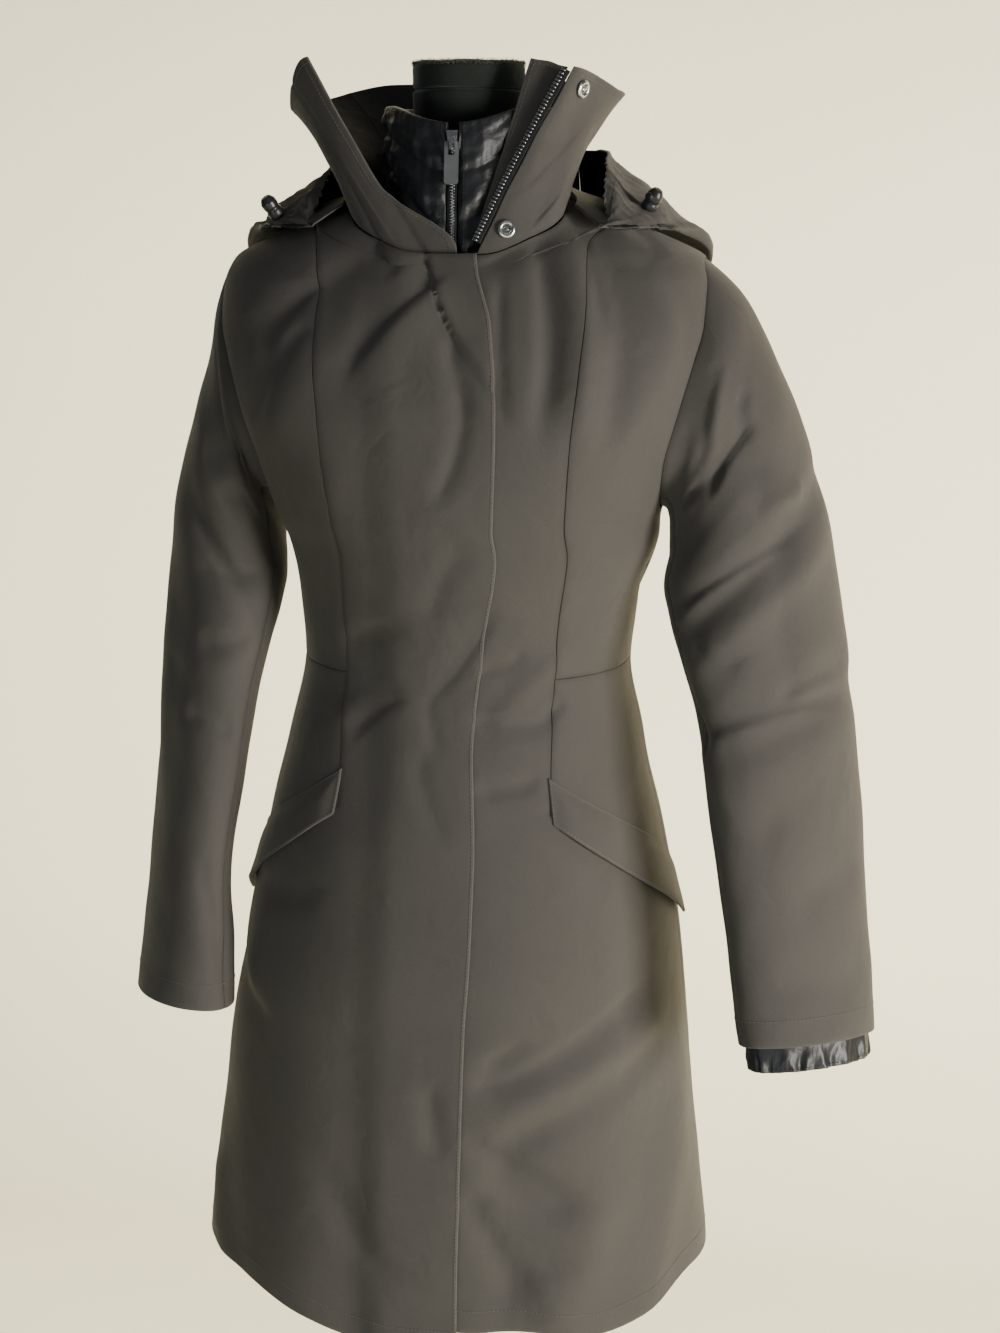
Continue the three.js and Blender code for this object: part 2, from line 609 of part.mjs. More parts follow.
function backs() {
  const full = levels(FULL_HEIGHTS);
  for (const [word, side] of [['right', -1], ['left', 1]]) {
    bodyPanel(`side_back_${word}`, {
      from: (z) => armEdge(z, 'back'),
      to: (z) => princess(z, 'back'),
      heights: full.filter((z) => z <= SHOULDER_MEETS_PRINCESS),
      columns: 4,
      side,
      hemFrom: -360,
    });
    bodyPanel(`centre_back_${word}`, {
      from: (z) => princess(z, 'back'),
      to: () => 180,
      heights: full,
      columns: 3,
      side,
      hemFrom: -360,
    });
  }
}

// A welt lies over the slanted pocket line, moved out from the panels beneath it
function pocketWelts() {
  for (const [word, side] of [['right', -1], ['left', 1]]) {
    const inner = princess(POCKET_INNER, 'front');
    const uv = (s, t) => {
      const angle = mix(inner + WELT.overlap, WELT.endAngle, s);
      const line = mix(POCKET_INNER, POCKET_OUTER, (angle - inner) / (90 - inner));
      const tall = mix(WELT.innerTall, WELT.outerTall, s);
      return [side * angle, line - WELT.below + tall * t];
    };
    const lift = (angle, z) => {
      const { fromAngle, angles, fromHeight, heights, rise } = WELT_OPENING;
      const below = smooth((pocketLine(Math.abs(angle)) + fromHeight - z) / heights);
      const open = smooth((Math.abs(angle) - fromAngle) / angles) * below;
      return WALL + LAYER_GAP + WELT.seat + rise * open;
    };
    cloth(`pocket_welt_${word}`, { point: coat, uv, columns: 8, rows: 5, lift });
  }
}

// A ring of the armhole, by turn from its top towards the front
function armholePoint(turn) {
  const middle = (SHOULDER_TIP + UNDERARM) / 2;
  const half = (SHOULDER_TIP - UNDERARM) / 2 - ARMHOLE_GAP;
  const z = middle + half * Math.cos(turn * DEGREE);
  const x = read(ARMHOLE_ROWS, 'z', 'edge', z) + ARMHOLE_GAP;
  const front = Math.sin(turn * DEGREE) > 0;
  const depth = depthAt(x, z, front ? 'front' : 'back');
  return new THREE.Vector3(x, front ? -depth : depth, z);
}

function sleeveRing(row, turn) {
  const tilt = row.tilt * DEGREE;
  const up = new THREE.Vector3(Math.cos(tilt), 0, Math.sin(tilt));
  const lean = row.lean * DEGREE;
  const forward = new THREE.Vector3(0, -Math.cos(lean), Math.sin(lean));
  const flat = row.turn * DEGREE;
  const wide = up.clone().multiplyScalar(Math.cos(flat)).addScaledVector(forward, -Math.sin(flat));
  const deep = up.clone().multiplyScalar(Math.sin(flat)).addScaledVector(forward, Math.cos(flat));
  const angle = turn * DEGREE + flat;
  return new THREE.Vector3(row.x, row.y, row.z)
    .addScaledVector(wide, row.wide * Math.cos(angle))
    .addScaledVector(deep, row.deep * Math.sin(angle));
}

// A point of a sleeve: turn round the ring, and place along the rings from the armhole
function sleeveSurface(rows, folds) {
  const ring = (k, turn) => {
    const row = Math.min(rows.length, Math.max(0, k));
    return row === 0 ? armholePoint(turn) : sleeveRing(rows[row - 1], turn);
  };
  const base = (turn, along) => {
    const k = Math.min(rows.length - 1, Math.max(0, Math.floor(along)));
    const t = along - k;
    const points = [k - 1, k, k + 1, k + 2].map((n) => ring(n, turn));
    if (k === 0) points[0].copy(points[1]).multiplyScalar(2).sub(points[2]);
    const [a, b, c, d] = points;
    const t2 = t * t;
    const t3 = t2 * t;
    return new THREE.Vector3()
      .addScaledVector(a, 0.5 * (-t3 + 2 * t2 - t))
      .addScaledVector(b, 0.5 * (3 * t3 - 5 * t2 + 2))
      .addScaledVector(c, 0.5 * (-3 * t3 + 4 * t2 + t))
      .addScaledVector(d, 0.5 * (t3 - t2));
  };
  const lines = folds.map((row) => ({
    fromAcross: row.fromTurn * SLEEVE_MM_PER_DEGREE,
    fromAlong: row.fromRing * SLEEVE_MM_PER_RING,
    toAcross: row.toTurn * SLEEVE_MM_PER_DEGREE,
    toAlong: row.toRing * SLEEVE_MM_PER_RING,
    width: row.width,
    rise: row.rise,
  }));
  return (turn, along) => {
    const point = base(turn, along);
    let rise = 0;
    for (const whole of [-360, 0, 360]) {
      const across = (turn + whole) * SLEEVE_MM_PER_DEGREE;
      for (const line of lines) rise += foldRise(line, across, along * SLEEVE_MM_PER_RING);
    }
    const middle = new THREE.Vector3();
    for (const quarter of [0, 90, 180, 270]) middle.addScaledVector(base(turn + quarter, along), 0.25);
    const away = point.clone().sub(middle).normalize();
    return point.addScaledVector(away, rise * smooth(along - SLEEVE_FOLDS_FROM));
  };
}

function mirrored(point, side) {
  return (u, v) => {
    const p = point(u, v);
    p.x *= side;
    return p;
  };
}

const SLEEVES = [
  { word: 'right', side: -1, rows: RIGHT_SLEEVE, folds: RIGHT_SLEEVE_FOLDS },
  { word: 'left', side: 1, rows: LEFT_SLEEVE, folds: LEFT_SLEEVE_FOLDS },
];

function sleeves() {
  for (const { word, side, rows, folds } of SLEEVES) {
    const point = mirrored(sleeveSurface(rows, folds), side);
    const last = rows.length;
    const shapes = [
      { part: 'upper', from: SLEEVE_SEAMS.back - 360, to: SLEEVE_SEAMS.front, columns: 17 },
      { part: 'under', from: SLEEVE_SEAMS.front, to: SLEEVE_SEAMS.back, columns: 7 },
    ];
    for (const { part, from, to, columns } of shapes) {
      const uv = (s, t) => [mix(from + SLEEVE_SEAMS.gap, to - SLEEVE_SEAMS.gap, s), last * t];
      cloth(`sleeve_${part}_${word}`, {
        point, uv, columns, rows: SLEEVE_ROWS, steps: SLEEVE_STEPS, sign: side,
      });
    }
  }
}

// The liner's cuff shows below the wearer's left sleeve
function linerCuff() {
  const { rows } = SLEEVES[1];
  const point = (turn, along) => {
    const row = rows[rows.length - 1];
    const above = rows[rows.length - 2];
    const step = (name) => mix(above[name], row[name], along);
    const { rise, count, from, over } = LINER_CUFF_CRINKLE;
    const crinkle = rise * Math.sin(turn * DEGREE * count) * smooth((along - from) / over);
    return sleeveRing({
      x: step('x'),
      y: step('y'),
      z: step('z'),
      tilt: row.tilt,
      wide: row.wide - LINER_CUFF.taperWide * along - LINER_CUFF.inset + crinkle,
      deep: row.deep - LINER_CUFF.taperDeep * along - LINER_CUFF.inset + crinkle,
      turn: row.turn,
      lean: row.lean,
    }, turn);
  };
  const { split, gap, thick } = LINER_CUFF;
  const parts = [
    { part: 'front', from: split - 180, to: split },
    { part: 'back', from: split, to: split + 180 },
  ];
  for (const { part, from, to } of parts) {
    const uv = (s, t) => [mix(from + gap, to - gap, s), mix(LINER_CUFF.from, LINER_CUFF.to, t)];
    cloth(`liner_cuff_${part}`, {
      point, uv, columns: 10, rows: 4, thick, steps: SLEEVE_STEPS, colour: COLOURS.liner,
    });
  }
}

// A point of the collar: angle round the neck, and share of its height from the neck seam
function collar(angle, share) {
  const neck = read(NECKLINE_ROWS, 'angle', 'z', Math.abs(angle));
  const base = coat(angle, neck);
  base.z += NECK_GAP;
  const top = new THREE.Vector3(
    read(COLLAR_TOP, 'angle', 'x', angle),
    read(COLLAR_TOP, 'angle', 'y', angle),
    read(COLLAR_TOP, 'angle', 'z', angle),
  );
  const bow = read(COLLAR_TOP, 'angle', 'bow', angle);
  const away = new THREE.Vector3(top.x - base.x, top.y - base.y, 0).normalize();
  const point = base.clone().lerp(top, share);
  return point.addScaledVector(away, -bow * Math.sin(Math.PI * share));
}

function collarPieces() {
  const pieces = [
    { name: 'collar_right', from: COLLAR_SPLITS.right, to: -COLLAR_SPLITS.front, columns: 11 },
    { name: 'collar_left', from: COLLAR_SPLITS.front, to: COLLAR_SPLITS.left, columns: 11 },
    { name: 'collar_back', from: COLLAR_SPLITS.left, to: 360 + COLLAR_SPLITS.right, columns: 9 },
  ];
  const point = (angle, share) => collar(angle > 180 ? angle - 360 : angle, share);
  for (const { name, from, to, columns } of pieces) {
    const uv = (s, t) => [mix(from + COLLAR_SPLITS.gap, to - COLLAR_SPLITS.gap, s), t];
    cloth(name, { point, uv, columns, rows: 6, steps: COLLAR_STEPS });
  }
}

// The storm flap behind the open zip, from the zip's edge towards the neck
function facingPoint(across, share) {
  const edge = collar(COLLAR_SPLITS.front + 1.5, share * 0.985 + 0.01);
  const inner = new THREE.Vector3(
    mix(FACING.bottomX, FACING.topX, share),
    mix(FACING.bottomY, FACING.topY, share),
    mix(FACING.bottomZ, FACING.topZ, share),
  );
  const point = edge.lerp(inner, across);
  point.x -= FACING.inwards * (1 - across);
  point.y += mix(FACING.edgeBehind, FACING.behind, across);
  point.z += FACING.up;
  return point;
}

function facing() {
  const uv = (s, t) => [s, mix(FACING.foot, 1, t)];
  cloth('facing_left', {
    point: facingPoint, uv, columns: 3, rows: 10, thick: FACING.thick, steps: [0.05, 0.02], sign: -1,
  });
}

// The zip's tape runs along the wearer's left front edge
function mainZip() {
  const point = (across, share) => {
    const p = collar(COLLAR_SPLITS.front, share);
    const along = collar(COLLAR_SPLITS.front, share + 0.02).sub(collar(COLLAR_SPLITS.front, share - 0.02));
    const out = outward(collar, COLLAR_SPLITS.front, share, ...COLLAR_STEPS, 1);
    const aside = along.normalize().cross(out).normalize();
    p.addScaledVector(aside, across - ZIP_TAPE.aside);
    return p.addScaledVector(out, -ZIP_TAPE.sunk);
  };
  const uv = (s, t) => [mix(-ZIP_TAPE.width, 0, s), mix(ZIP_TAPE.foot, ZIP_TAPE.head, t)];
  cloth('main_zip_tape', {
    point, uv, columns: 2, rows: 12, thick: ZIP_TAPE.thick, steps: COLLAR_STEPS, colour: COLOURS.dark,
  });
}

// A turned solid on a surface: its foot at a place, its axis along the outward direction
function turnedOn(name, place, out, rows, segments, colour, roughness, metalness) {
  const profile = rows.map(([radius, height]) => new THREE.Vector2(radius, height));
  const geometry = new THREE.LatheGeometry(profile, segments);
  geometry.applyQuaternion(new THREE.Quaternion().setFromUnitVectors(LATHE_AXIS, out));
  geometry.translate(place.x, place.y, place.z);
  return add(name, geometry, colour, roughness, metalness);
}

// A snap's ring, with a rounded rim
function ringOn(name, place, out, { radius, hole, height, rim }) {
  const profile = [
    [hole, 0],
    [radius, 0],
    [radius, height * 0.5],
    [radius - rim, height],
    [hole + rim, height],
    [hole, height * 0.6],
    [hole, 0],
  ];
  return turnedOn(name, place, out, profile, SNAP_SIDES, COLOURS.steel, 0.3, 1);
}

function snaps() {
  for (const { name, angle, share } of SNAPS) {
    const out = outward(collar, angle, share, ...COLLAR_STEPS, 1);
    const place = collar(angle, share).addScaledVector(out, LAYER_GAP);
    ringOn(name, place, out, SNAP);
  }
  const out = outward(collar, STUD.angle, STUD.share, ...COLLAR_STEPS, 1).negate();
  const place = collar(STUD.angle, STUD.share).addScaledVector(out, WALL + SEAM * 2);
  ringOn('snap_stud', place, out, { ...SNAP, ...STUD });
}

// A point of the hood: angle round the neck, and place along its profile from neck seam to rim
function hood(angle, share) {
  const turn = Math.abs(angle);
  const side = Math.sign(angle);
  const value = (name) => read(HOOD_ROWS, 'angle', name, turn);
  const neck = read(NECKLINE_ROWS, 'angle', 'z', turn);
  const fold = value('foldZ');
  const under = (t) => {
    const z = mix(neck - HOOD_CURVE.foot, fold, t);
    const out = outward(coat, turn, z, ...COAT_STEPS, 1);
    return coat(turn, z).addScaledVector(out, HOOD_LIFT + HOOD_WALL);
  };
  const turnAt = HOOD_CURVE.foldShare;
  let point;
  if (share <= turnAt) {
    point = under(share / turnAt);
  } else {
    const t = (share - turnAt) / (1 - turnAt);
    const start = under(1);
    const before = under(0.96);
    const rim = new THREE.Vector3(value('x'), value('y'), value('z'));
    const out = outward(coat, turn, fold, ...COAT_STEPS, 1);
    const bulge = value('bulge');
    const leave = start.clone().sub(before).normalize();
    const first = start.clone()
      .addScaledVector(leave, bulge * HOOD_CURVE.leave)
      .addScaledVector(out, bulge * HOOD_CURVE.out);
    const level = new THREE.Vector3(out.x, out.y, 0).normalize();
    const second = rim.clone().addScaledVector(level, bulge * HOOD_CURVE.rimOut);
    second.z -= (rim.z - fold) * HOOD_CURVE.rimDrop;
    const curve = new THREE.CubicBezierCurve3(start, first, second, rim);
    point = curve.getPoint(t);
  }
  point.x *= side;
  return point;
}

function hoodPieces() {
  const first = HOOD_ROWS[0].angle;
  const pieces = [
    { name: 'hood_right', side: -1, from: first, to: HOOD_SEAM_ANGLE, columns: 8 },
    { name: 'hood_left', side: 1, from: first, to: HOOD_SEAM_ANGLE, columns: 8 },
  ];
  for (const { name, side, from, to, columns } of pieces) {
    const uv = (s, t) => [side * mix(from, to - 0.1, s), t];
    cloth(name, {
      point: hood, uv, columns, rows: HOOD_PROFILE_ROWS, thick: HOOD_WALL, steps: HOOD_STEPS, sign: side,
    });
  }
  const point = (angle, share) => (angle > 180
    ? mirrored(hood, -1)(360 - angle, share)
    : hood(angle, share));
  const uv = (s, t) => [mix(HOOD_SEAM_ANGLE + 0.1, 360 - HOOD_SEAM_ANGLE - 0.1, s), t];
  cloth('hood_centre', {
    point, uv, columns: 7, rows: HOOD_PROFILE_ROWS, thick: HOOD_WALL, steps: HOOD_STEPS,
  });
}

function cordLocks() {
  const { radius, length, foot, shoulder } = CORD_LOCK;
  const profile = [
    [0, 0],
    [radius * 0.8, 0],
    [radius, foot],
    [radius, length - shoulder],
    [radius * 0.6, length],
    [0, length],
  ];
  for (const { word, side, angle, share, seat } of CORD_LOCK_PLACES) {
    const out = outward(hood, angle, share, ...HOOD_STEPS, side);
    if (out.z < 0) out.negate();
    const place = hood(angle, share).addScaledVector(out, seat);
    turnedOn(`cord_lock_${word}`, place, out, profile, CORD_LOCK_SIDES, COLOURS.dark, 0.4, 0);
  }
}

// How far in front of the neck's middle the liner's collar stands at a height
function linerFront(z) {
  return mix(LINER.front, LINER.topFront, smooth((z - LINER.frontZ) / (LINER.topZ - LINER.frontZ)));
}

// A point of the liner's collar: angle round the neck, and share of its height
function liner(angle, share) {
  const turn = Math.abs(angle);
  const bottom = read(LINER_BOTTOM, 'angle', 'z', turn);
  const top = mix(LINER.topZ, LINER.sideTopZ, smooth(turn / 60));
  const z = mix(bottom, top, share);
  const front = linerFront(z);
  const depth = Math.cos(angle * DEGREE) > 0 ? front : LINER.back;
  const s = Math.sin(angle * DEGREE) / LINER.side;
  const c = Math.cos(angle * DEGREE) / depth;
  const channel = LINER_CHANNEL.rise * Math.abs(Math.sin(Math.PI * LINER_CHANNEL.count * share));
  const radius = 1 / Math.hypot(s, c) + channel;
  return new THREE.Vector3(radius * Math.sin(angle * DEGREE), -radius * Math.cos(angle * DEGREE), z);
}

function linerCollar() {
  const gap = 0.15;
  const { edge, backSeam } = LINER;
  const pieces = [
    { name: 'liner_collar_right', from: -backSeam, to: -edge, columns: 10 },
    { name: 'liner_collar_left', from: edge, to: backSeam, columns: 10 },
    { name: 'liner_collar_back', from: backSeam, to: 360 - backSeam, columns: 4 },
  ];
  for (const { name, from, to, columns } of pieces) {
    const uv = (s, t) => [mix(from + gap, to - gap, s), mix(LINER.foot, 1, t)];
    const rows = 9;
    const inside = (s, t) => {
      const [angle, share] = uv(s, t);
      const outer = liner(angle, share);
      const inner = new THREE.Vector3(outer.x, outer.y, 0);
      const channel = LINER_CHANNEL.rise * Math.abs(Math.sin(Math.PI * LINER_CHANNEL.count * share));
      return outer.addScaledVector(inner.normalize(), -LINER.thick - channel);
    };
    const outside = (s, t) => liner(...uv(s, t));
    add(name, wallGeometry(columns, rows, outside, inside), COLOURS.liner, 0.6);
  }
}

// The liner's zip, its slider and the pull tab that hangs from it
function linerZip() {
  const foot = LINER_BOTTOM[0].z;
  const head = (LINER_ZIP.top - foot) / (LINER.topZ - foot);
  const uv = (s, t) => [s, mix(LINER_ZIP.foot, head, t)];
  const point = (across, share) => {
    const p = liner(0, share);
    p.x = mix(-1, 1, across) * (LINER_ZIP.width / 2 - LINER_ZIP.margin);
    p.y += LINER_ZIP.sunk;
    return p;
  };
  cloth('liner_zip_tape', {
    point, uv, columns: 2, rows: 8, thick: LINER_ZIP.thick, steps: [0.1, 0.02], colour: COLOURS.dark,
  });
}

// A geometry as a solid that can be joined, and the joined solid as a geometry
const wasm = await Module();
wasm.setup();

function solid(geometry) {
  const bare = geometry.clone();
  bare.deleteAttribute('normal');
  bare.deleteAttribute('uv');
  const merged = mergeVertices(bare, 1e-4);
  return new wasm.Manifold(new wasm.Mesh({
    numProp: 3,
    vertProperties: Float32Array.from(merged.attributes.position.array),
    triVerts: Uint32Array.from(merged.index.array),
  }));
}

function joined(first, ...others) {
  let whole = solid(first);
  for (const other of others) whole = whole.add(solid(other));
  const mesh = whole.getMesh();
  return closed(Array.from(mesh.vertProperties), Array.from(mesh.triVerts));
}

// Height and depth of the pull tab's axis, in front of the slider's plate
const AXIS_Y = -linerFront(SLIDER.z) - SLIDER.clear - SLIDER.plate - SLIDER.hole / 2;
const AXIS_Z = SLIDER.z - SLIDER.axisBelow;

// The slider: a plate with a bridge that the pull tab's bar passes through
function slider() {
  const back = -linerFront(SLIDER.z) - SLIDER.clear;
  const shape = new THREE.Shape();
  shape.moveTo(-SLIDER.width / 2, SLIDER.height / 2);
  shape.lineTo(-SLIDER.width / 3, -SLIDER.height / 2);
  shape.lineTo(SLIDER.width / 3, -SLIDER.height / 2);
  shape.lineTo(SLIDER.width / 2, SLIDER.height / 2);
  shape.closePath();
  const plate = new THREE.ExtrudeGeometry(shape, { depth: SLIDER.plate, bevelEnabled: false });
  plate.rotateX(Math.PI / 2);
  plate.translate(0, back, SLIDER.z);
  const reach = SLIDER.hole + SLIDER.bar;
  const middle = back - SLIDER.plate - SLIDER.hole - SLIDER.bar / 2;
  const bar = new THREE.BoxGeometry(SLIDER.bridge, SLIDER.bar, 2 * (SLIDER.leg + SLIDER.bar));
  bar.translate(0, middle, AXIS_Z);
  const legs = [-1, 1].map((way) => {
    const leg = new THREE.BoxGeometry(SLIDER.bridge, reach + SLIDER.sunk, SLIDER.bar);
    const legY = back - SLIDER.plate - (reach - SLIDER.sunk) / 2;
    leg.translate(0, legY, AXIS_Z + way * (SLIDER.leg + SLIDER.bar / 2));
    return leg;
  });
  add('liner_slider', joined(plate, bar, ...legs), COLOURS.steel, 0.35, 1);
}

// The pull tab hangs from the bridge: a flat bar with a window below its round top bar
function pullTab() {
  const outline = new THREE.Shape();
  const half = TAB.width / 2;
  const top = TAB.bar / 2;
  const { corner, chamfer } = TAB;
  outline.moveTo(-half + chamfer, top);
  outline.lineTo(half - chamfer, top);
  outline.lineTo(half, top - chamfer);
  outline.lineTo(half, -TAB.length + corner);
  outline.absarc(half - corner, -TAB.length + corner, corner, 0, -Math.PI / 2, true);
  outline.absarc(-half + corner, -TAB.length + corner, corner, -Math.PI / 2, -Math.PI, true);
  outline.lineTo(-half, top - chamfer);
  outline.closePath();
  const window = new THREE.Path();
  const sill = -top - TAB.slotHeight;
  window.moveTo(-TAB.slot / 2, -top);
  window.lineTo(-TAB.slot / 2, sill);
  window.lineTo(TAB.slot / 2, sill);
  window.lineTo(TAB.slot / 2, -top);
  window.closePath();
  outline.holes.push(window);
  const geometry = new THREE.ExtrudeGeometry(outline, {
    depth: TAB.thick, bevelEnabled: false, curveSegments: 4,
  });
  geometry.translate(0, 0, -TAB.thick / 2);
  geometry.rotateX(Math.PI / 2 - TAB.rest * DEGREE);
  geometry.translate(0, AXIS_Y, AXIS_Z);
  add('liner_pull_tab', geometry, COLOURS.tab, 0.45, 0.3);
}

// The zip strip that shows in each pocket's open end, under its welt
function pocketZips() {
  for (const [word, side] of [['right', -1], ['left', 1]]) {
    const uv = (s, t) => {
      const angle = mix(POCKET_ZIP.from, POCKET_ZIP.to, s);
      return [side * angle, pocketLine(angle) + mix(POCKET_ZIP.low, POCKET_ZIP.high, t)];
    };
    cloth(`pocket_zip_${word}`, {
      point: coat,
      uv,
      columns: 2,
      rows: 1,
      lift: () => POCKET_ZIP.lift,
      thick: POCKET_ZIP.thick,
      colour: COLOURS.dark,
    });
  }
}

// The dress form follows the coat's rings without folds, and carries it at the shoulders
function formPoint(angle, z) {
  const plain = (u, v) => coat(u, v, false);
  const turn = Math.abs(angle > 180 ? 360 - angle : angle);
  const { fromZ, heights, toAngle, angles } = FORM_FRONT;
  const front = smooth((z - fromZ) / heights) * smooth((toAngle - turn) / angles);
  const room = mix(WALL + FORM_CLEARANCE, FORM_NECK_ROOM, front);
  const fromTop = smooth((z - FORM_SEAT.fromZ) / FORM_SEAT.heights);
  const seat = fromTop * smooth((FORM_SEAT.toAngle - Math.abs(turn - 90)) / FORM_SEAT.angles);
  const inset = mix(room, WALL + SHOULDER_SEAT, seat);
  return plain(angle, z).addScaledVector(outward(plain, angle, z, ...COAT_STEPS, 1), -inset);
}

function dressForm() {
  const segments = FORM_SIDES;
  const positions = [];
  const faces = [];
  const lastRing = FORM_LEVELS.length - 1;
  FORM_LEVELS.forEach((z, ring) => {
    const shrink = ring === 0 ? FORM_FOOT_SHARE : 1;
    for (let k = 0; k < segments; k += 1) {
      const p = formPoint((360 * k) / segments, z);
      const level = ring === lastRing ? NECK_BASE + SEAM : z;
      positions.push(p.x * shrink, p.y * shrink, ring === 0 || ring === lastRing ? level : p.z);
    }
  });
  const id = (ring, k) => ring * segments + (k % segments);
  for (let ring = 0; ring < lastRing; ring += 1) {
    for (let k = 0; k < segments; k += 1) {
      faces.push(id(ring, k), id(ring, k + 1), id(ring + 1, k + 1));
      faces.push(id(ring, k), id(ring + 1, k + 1), id(ring + 1, k));
    }
  }
  for (const [ring, way] of [[0, 1], [lastRing, -1]]) {
    const centre = positions.length / 3;
    positions.push(0, 0, positions[3 * id(ring, 0) + 2]);
    for (let k = 0; k < segments; k += 1) {
      const pair = [id(ring, k), id(ring, k + 1)];
      faces.push(centre, ...(way > 0 ? pair.reverse() : pair));
    }
  }
  add('form_torso', closed(positions, faces), COLOURS.form, 0.95);
}

function turned(name, rows, segments, colour, roughness, metalness) {
  const profile = rows.map(([radius, z]) => new THREE.Vector2(radius, z));
  const geometry = new THREE.LatheGeometry(profile, segments);
  geometry.rotateX(Math.PI / 2);
  return add(name, geometry, colour, roughness, metalness);
}

function stand() {
  const neckFoot = NECK_BASE + SEAM * 2;
  turned('neck_block', [
    [0, neckFoot],
    [NECK_RADIUS + 1, neckFoot],
    [NECK_RADIUS, NECK_TOP - NECK_RIM.band],
    [NECK_RADIUS, NECK_TOP - NECK_RIM.chamfer],
    [NECK_RADIUS - NECK_RIM.chamfer * 0.3, NECK_TOP - NECK_RIM.chamfer * 0.3],
    [NECK_RADIUS - NECK_RIM.chamfer, NECK_TOP],
    [0, NECK_TOP],
  ], 28, COLOURS.form, 0.95);
  turned('stand_pole', [
    [0, BASE_HEIGHT + SEAM],
    [POLE_RADIUS + POLE_FOOT.flare, BASE_HEIGHT + SEAM],
    [POLE_RADIUS + POLE_FOOT.flareTop, BASE_HEIGHT + POLE_FOOT.low],
    [POLE_RADIUS, BASE_HEIGHT + POLE_FOOT.high],
    [POLE_RADIUS, FORM_BOTTOM - SEAM],
    [0, FORM_BOTTOM - SEAM],
  ], 16, COLOURS.steel, 0.3, 1);
  turned('stand_base', [
    [0, 0],
    [BASE_RADIUS - 1, 0],
    [BASE_RADIUS, 1],
    [BASE_RADIUS, BASE_HEIGHT - BASE_EDGE],
    [BASE_RADIUS - BASE_EDGE, BASE_HEIGHT],
    [0, BASE_HEIGHT],
  ], 36, COLOURS.dark, 0.5, 0.6);
}

centreFronts();
sideFronts();
backs();
pocketWelts();
pocketZips();
sleeves();
linerCuff();
collarPieces();
facing();
mainZip();
snaps();
hoodPieces();
cordLocks();
linerCollar();
linerZip();
slider();
pullTab();
dressForm();
stand();

export default group;
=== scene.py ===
"""A long fitted parka with its quilted liner collar, worn by a limbless dress form on a stand.

Metres, +Z up. The coat's front faces -Y, and +X is the wearer's left. The script is laid out as an add-on:
a panel in the 3D view's sidebar lists one operator for each piece or group of like pieces.
"""

import math

import bmesh
import bpy
import numpy as np
from bpy.props import FloatProperty, FloatVectorProperty, PointerProperty
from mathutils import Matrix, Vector


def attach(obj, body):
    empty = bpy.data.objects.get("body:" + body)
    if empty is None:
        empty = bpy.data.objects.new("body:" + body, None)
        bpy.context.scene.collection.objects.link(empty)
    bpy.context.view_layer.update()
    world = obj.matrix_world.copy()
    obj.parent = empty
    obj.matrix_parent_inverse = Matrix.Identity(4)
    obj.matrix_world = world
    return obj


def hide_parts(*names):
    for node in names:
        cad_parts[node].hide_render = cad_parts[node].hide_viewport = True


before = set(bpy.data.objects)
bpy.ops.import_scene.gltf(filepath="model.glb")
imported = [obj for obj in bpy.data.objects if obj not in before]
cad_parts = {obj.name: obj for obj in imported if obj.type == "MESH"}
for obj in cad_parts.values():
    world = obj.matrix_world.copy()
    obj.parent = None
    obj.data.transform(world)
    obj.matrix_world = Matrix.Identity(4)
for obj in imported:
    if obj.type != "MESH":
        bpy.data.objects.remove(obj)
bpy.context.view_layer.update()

bl_info = {
    "name": "Parka on a dress form",
    "version": (1, 0, 0),
    "blender": (4, 5, 0),
    "location": "View3D > Sidebar > Parka",
    "description": "Cloth, trims and stand of a long fitted parka around a packed frame",
    "category": "Object",
}

ROOT = "coat_and_stand"


def table(names, rows):
    """Rows of numbers as named columns."""
    return dict(zip(names.split(), np.array(rows, float).T))


# Driving sizes, the same as the solids' own
WALL = 0.003
LAYER_GAP = 0.0009
NECK_GAP = 0.0008
ARMHOLE_GAP = 0.00085
SEAM = 0.0003
HEM = 0.500
POCKET_OUTER = 0.842
POCKET_INNER = 0.957
WAIST = 1.066
UNDERARM = 1.195
NECKLINE_FROM = 1.340
SHOULDER_TIP = 1.400
SHOULDER_MEETS_PRINCESS = 1.433
NECK_BASE = 1.450
NECK_TOP = 1.552
NECK_RADIUS = 0.045
NECK_BAND = 0.022
POLE_RADIUS = 0.014
BASE_RADIUS = 0.190
BASE_HEIGHT = 0.018

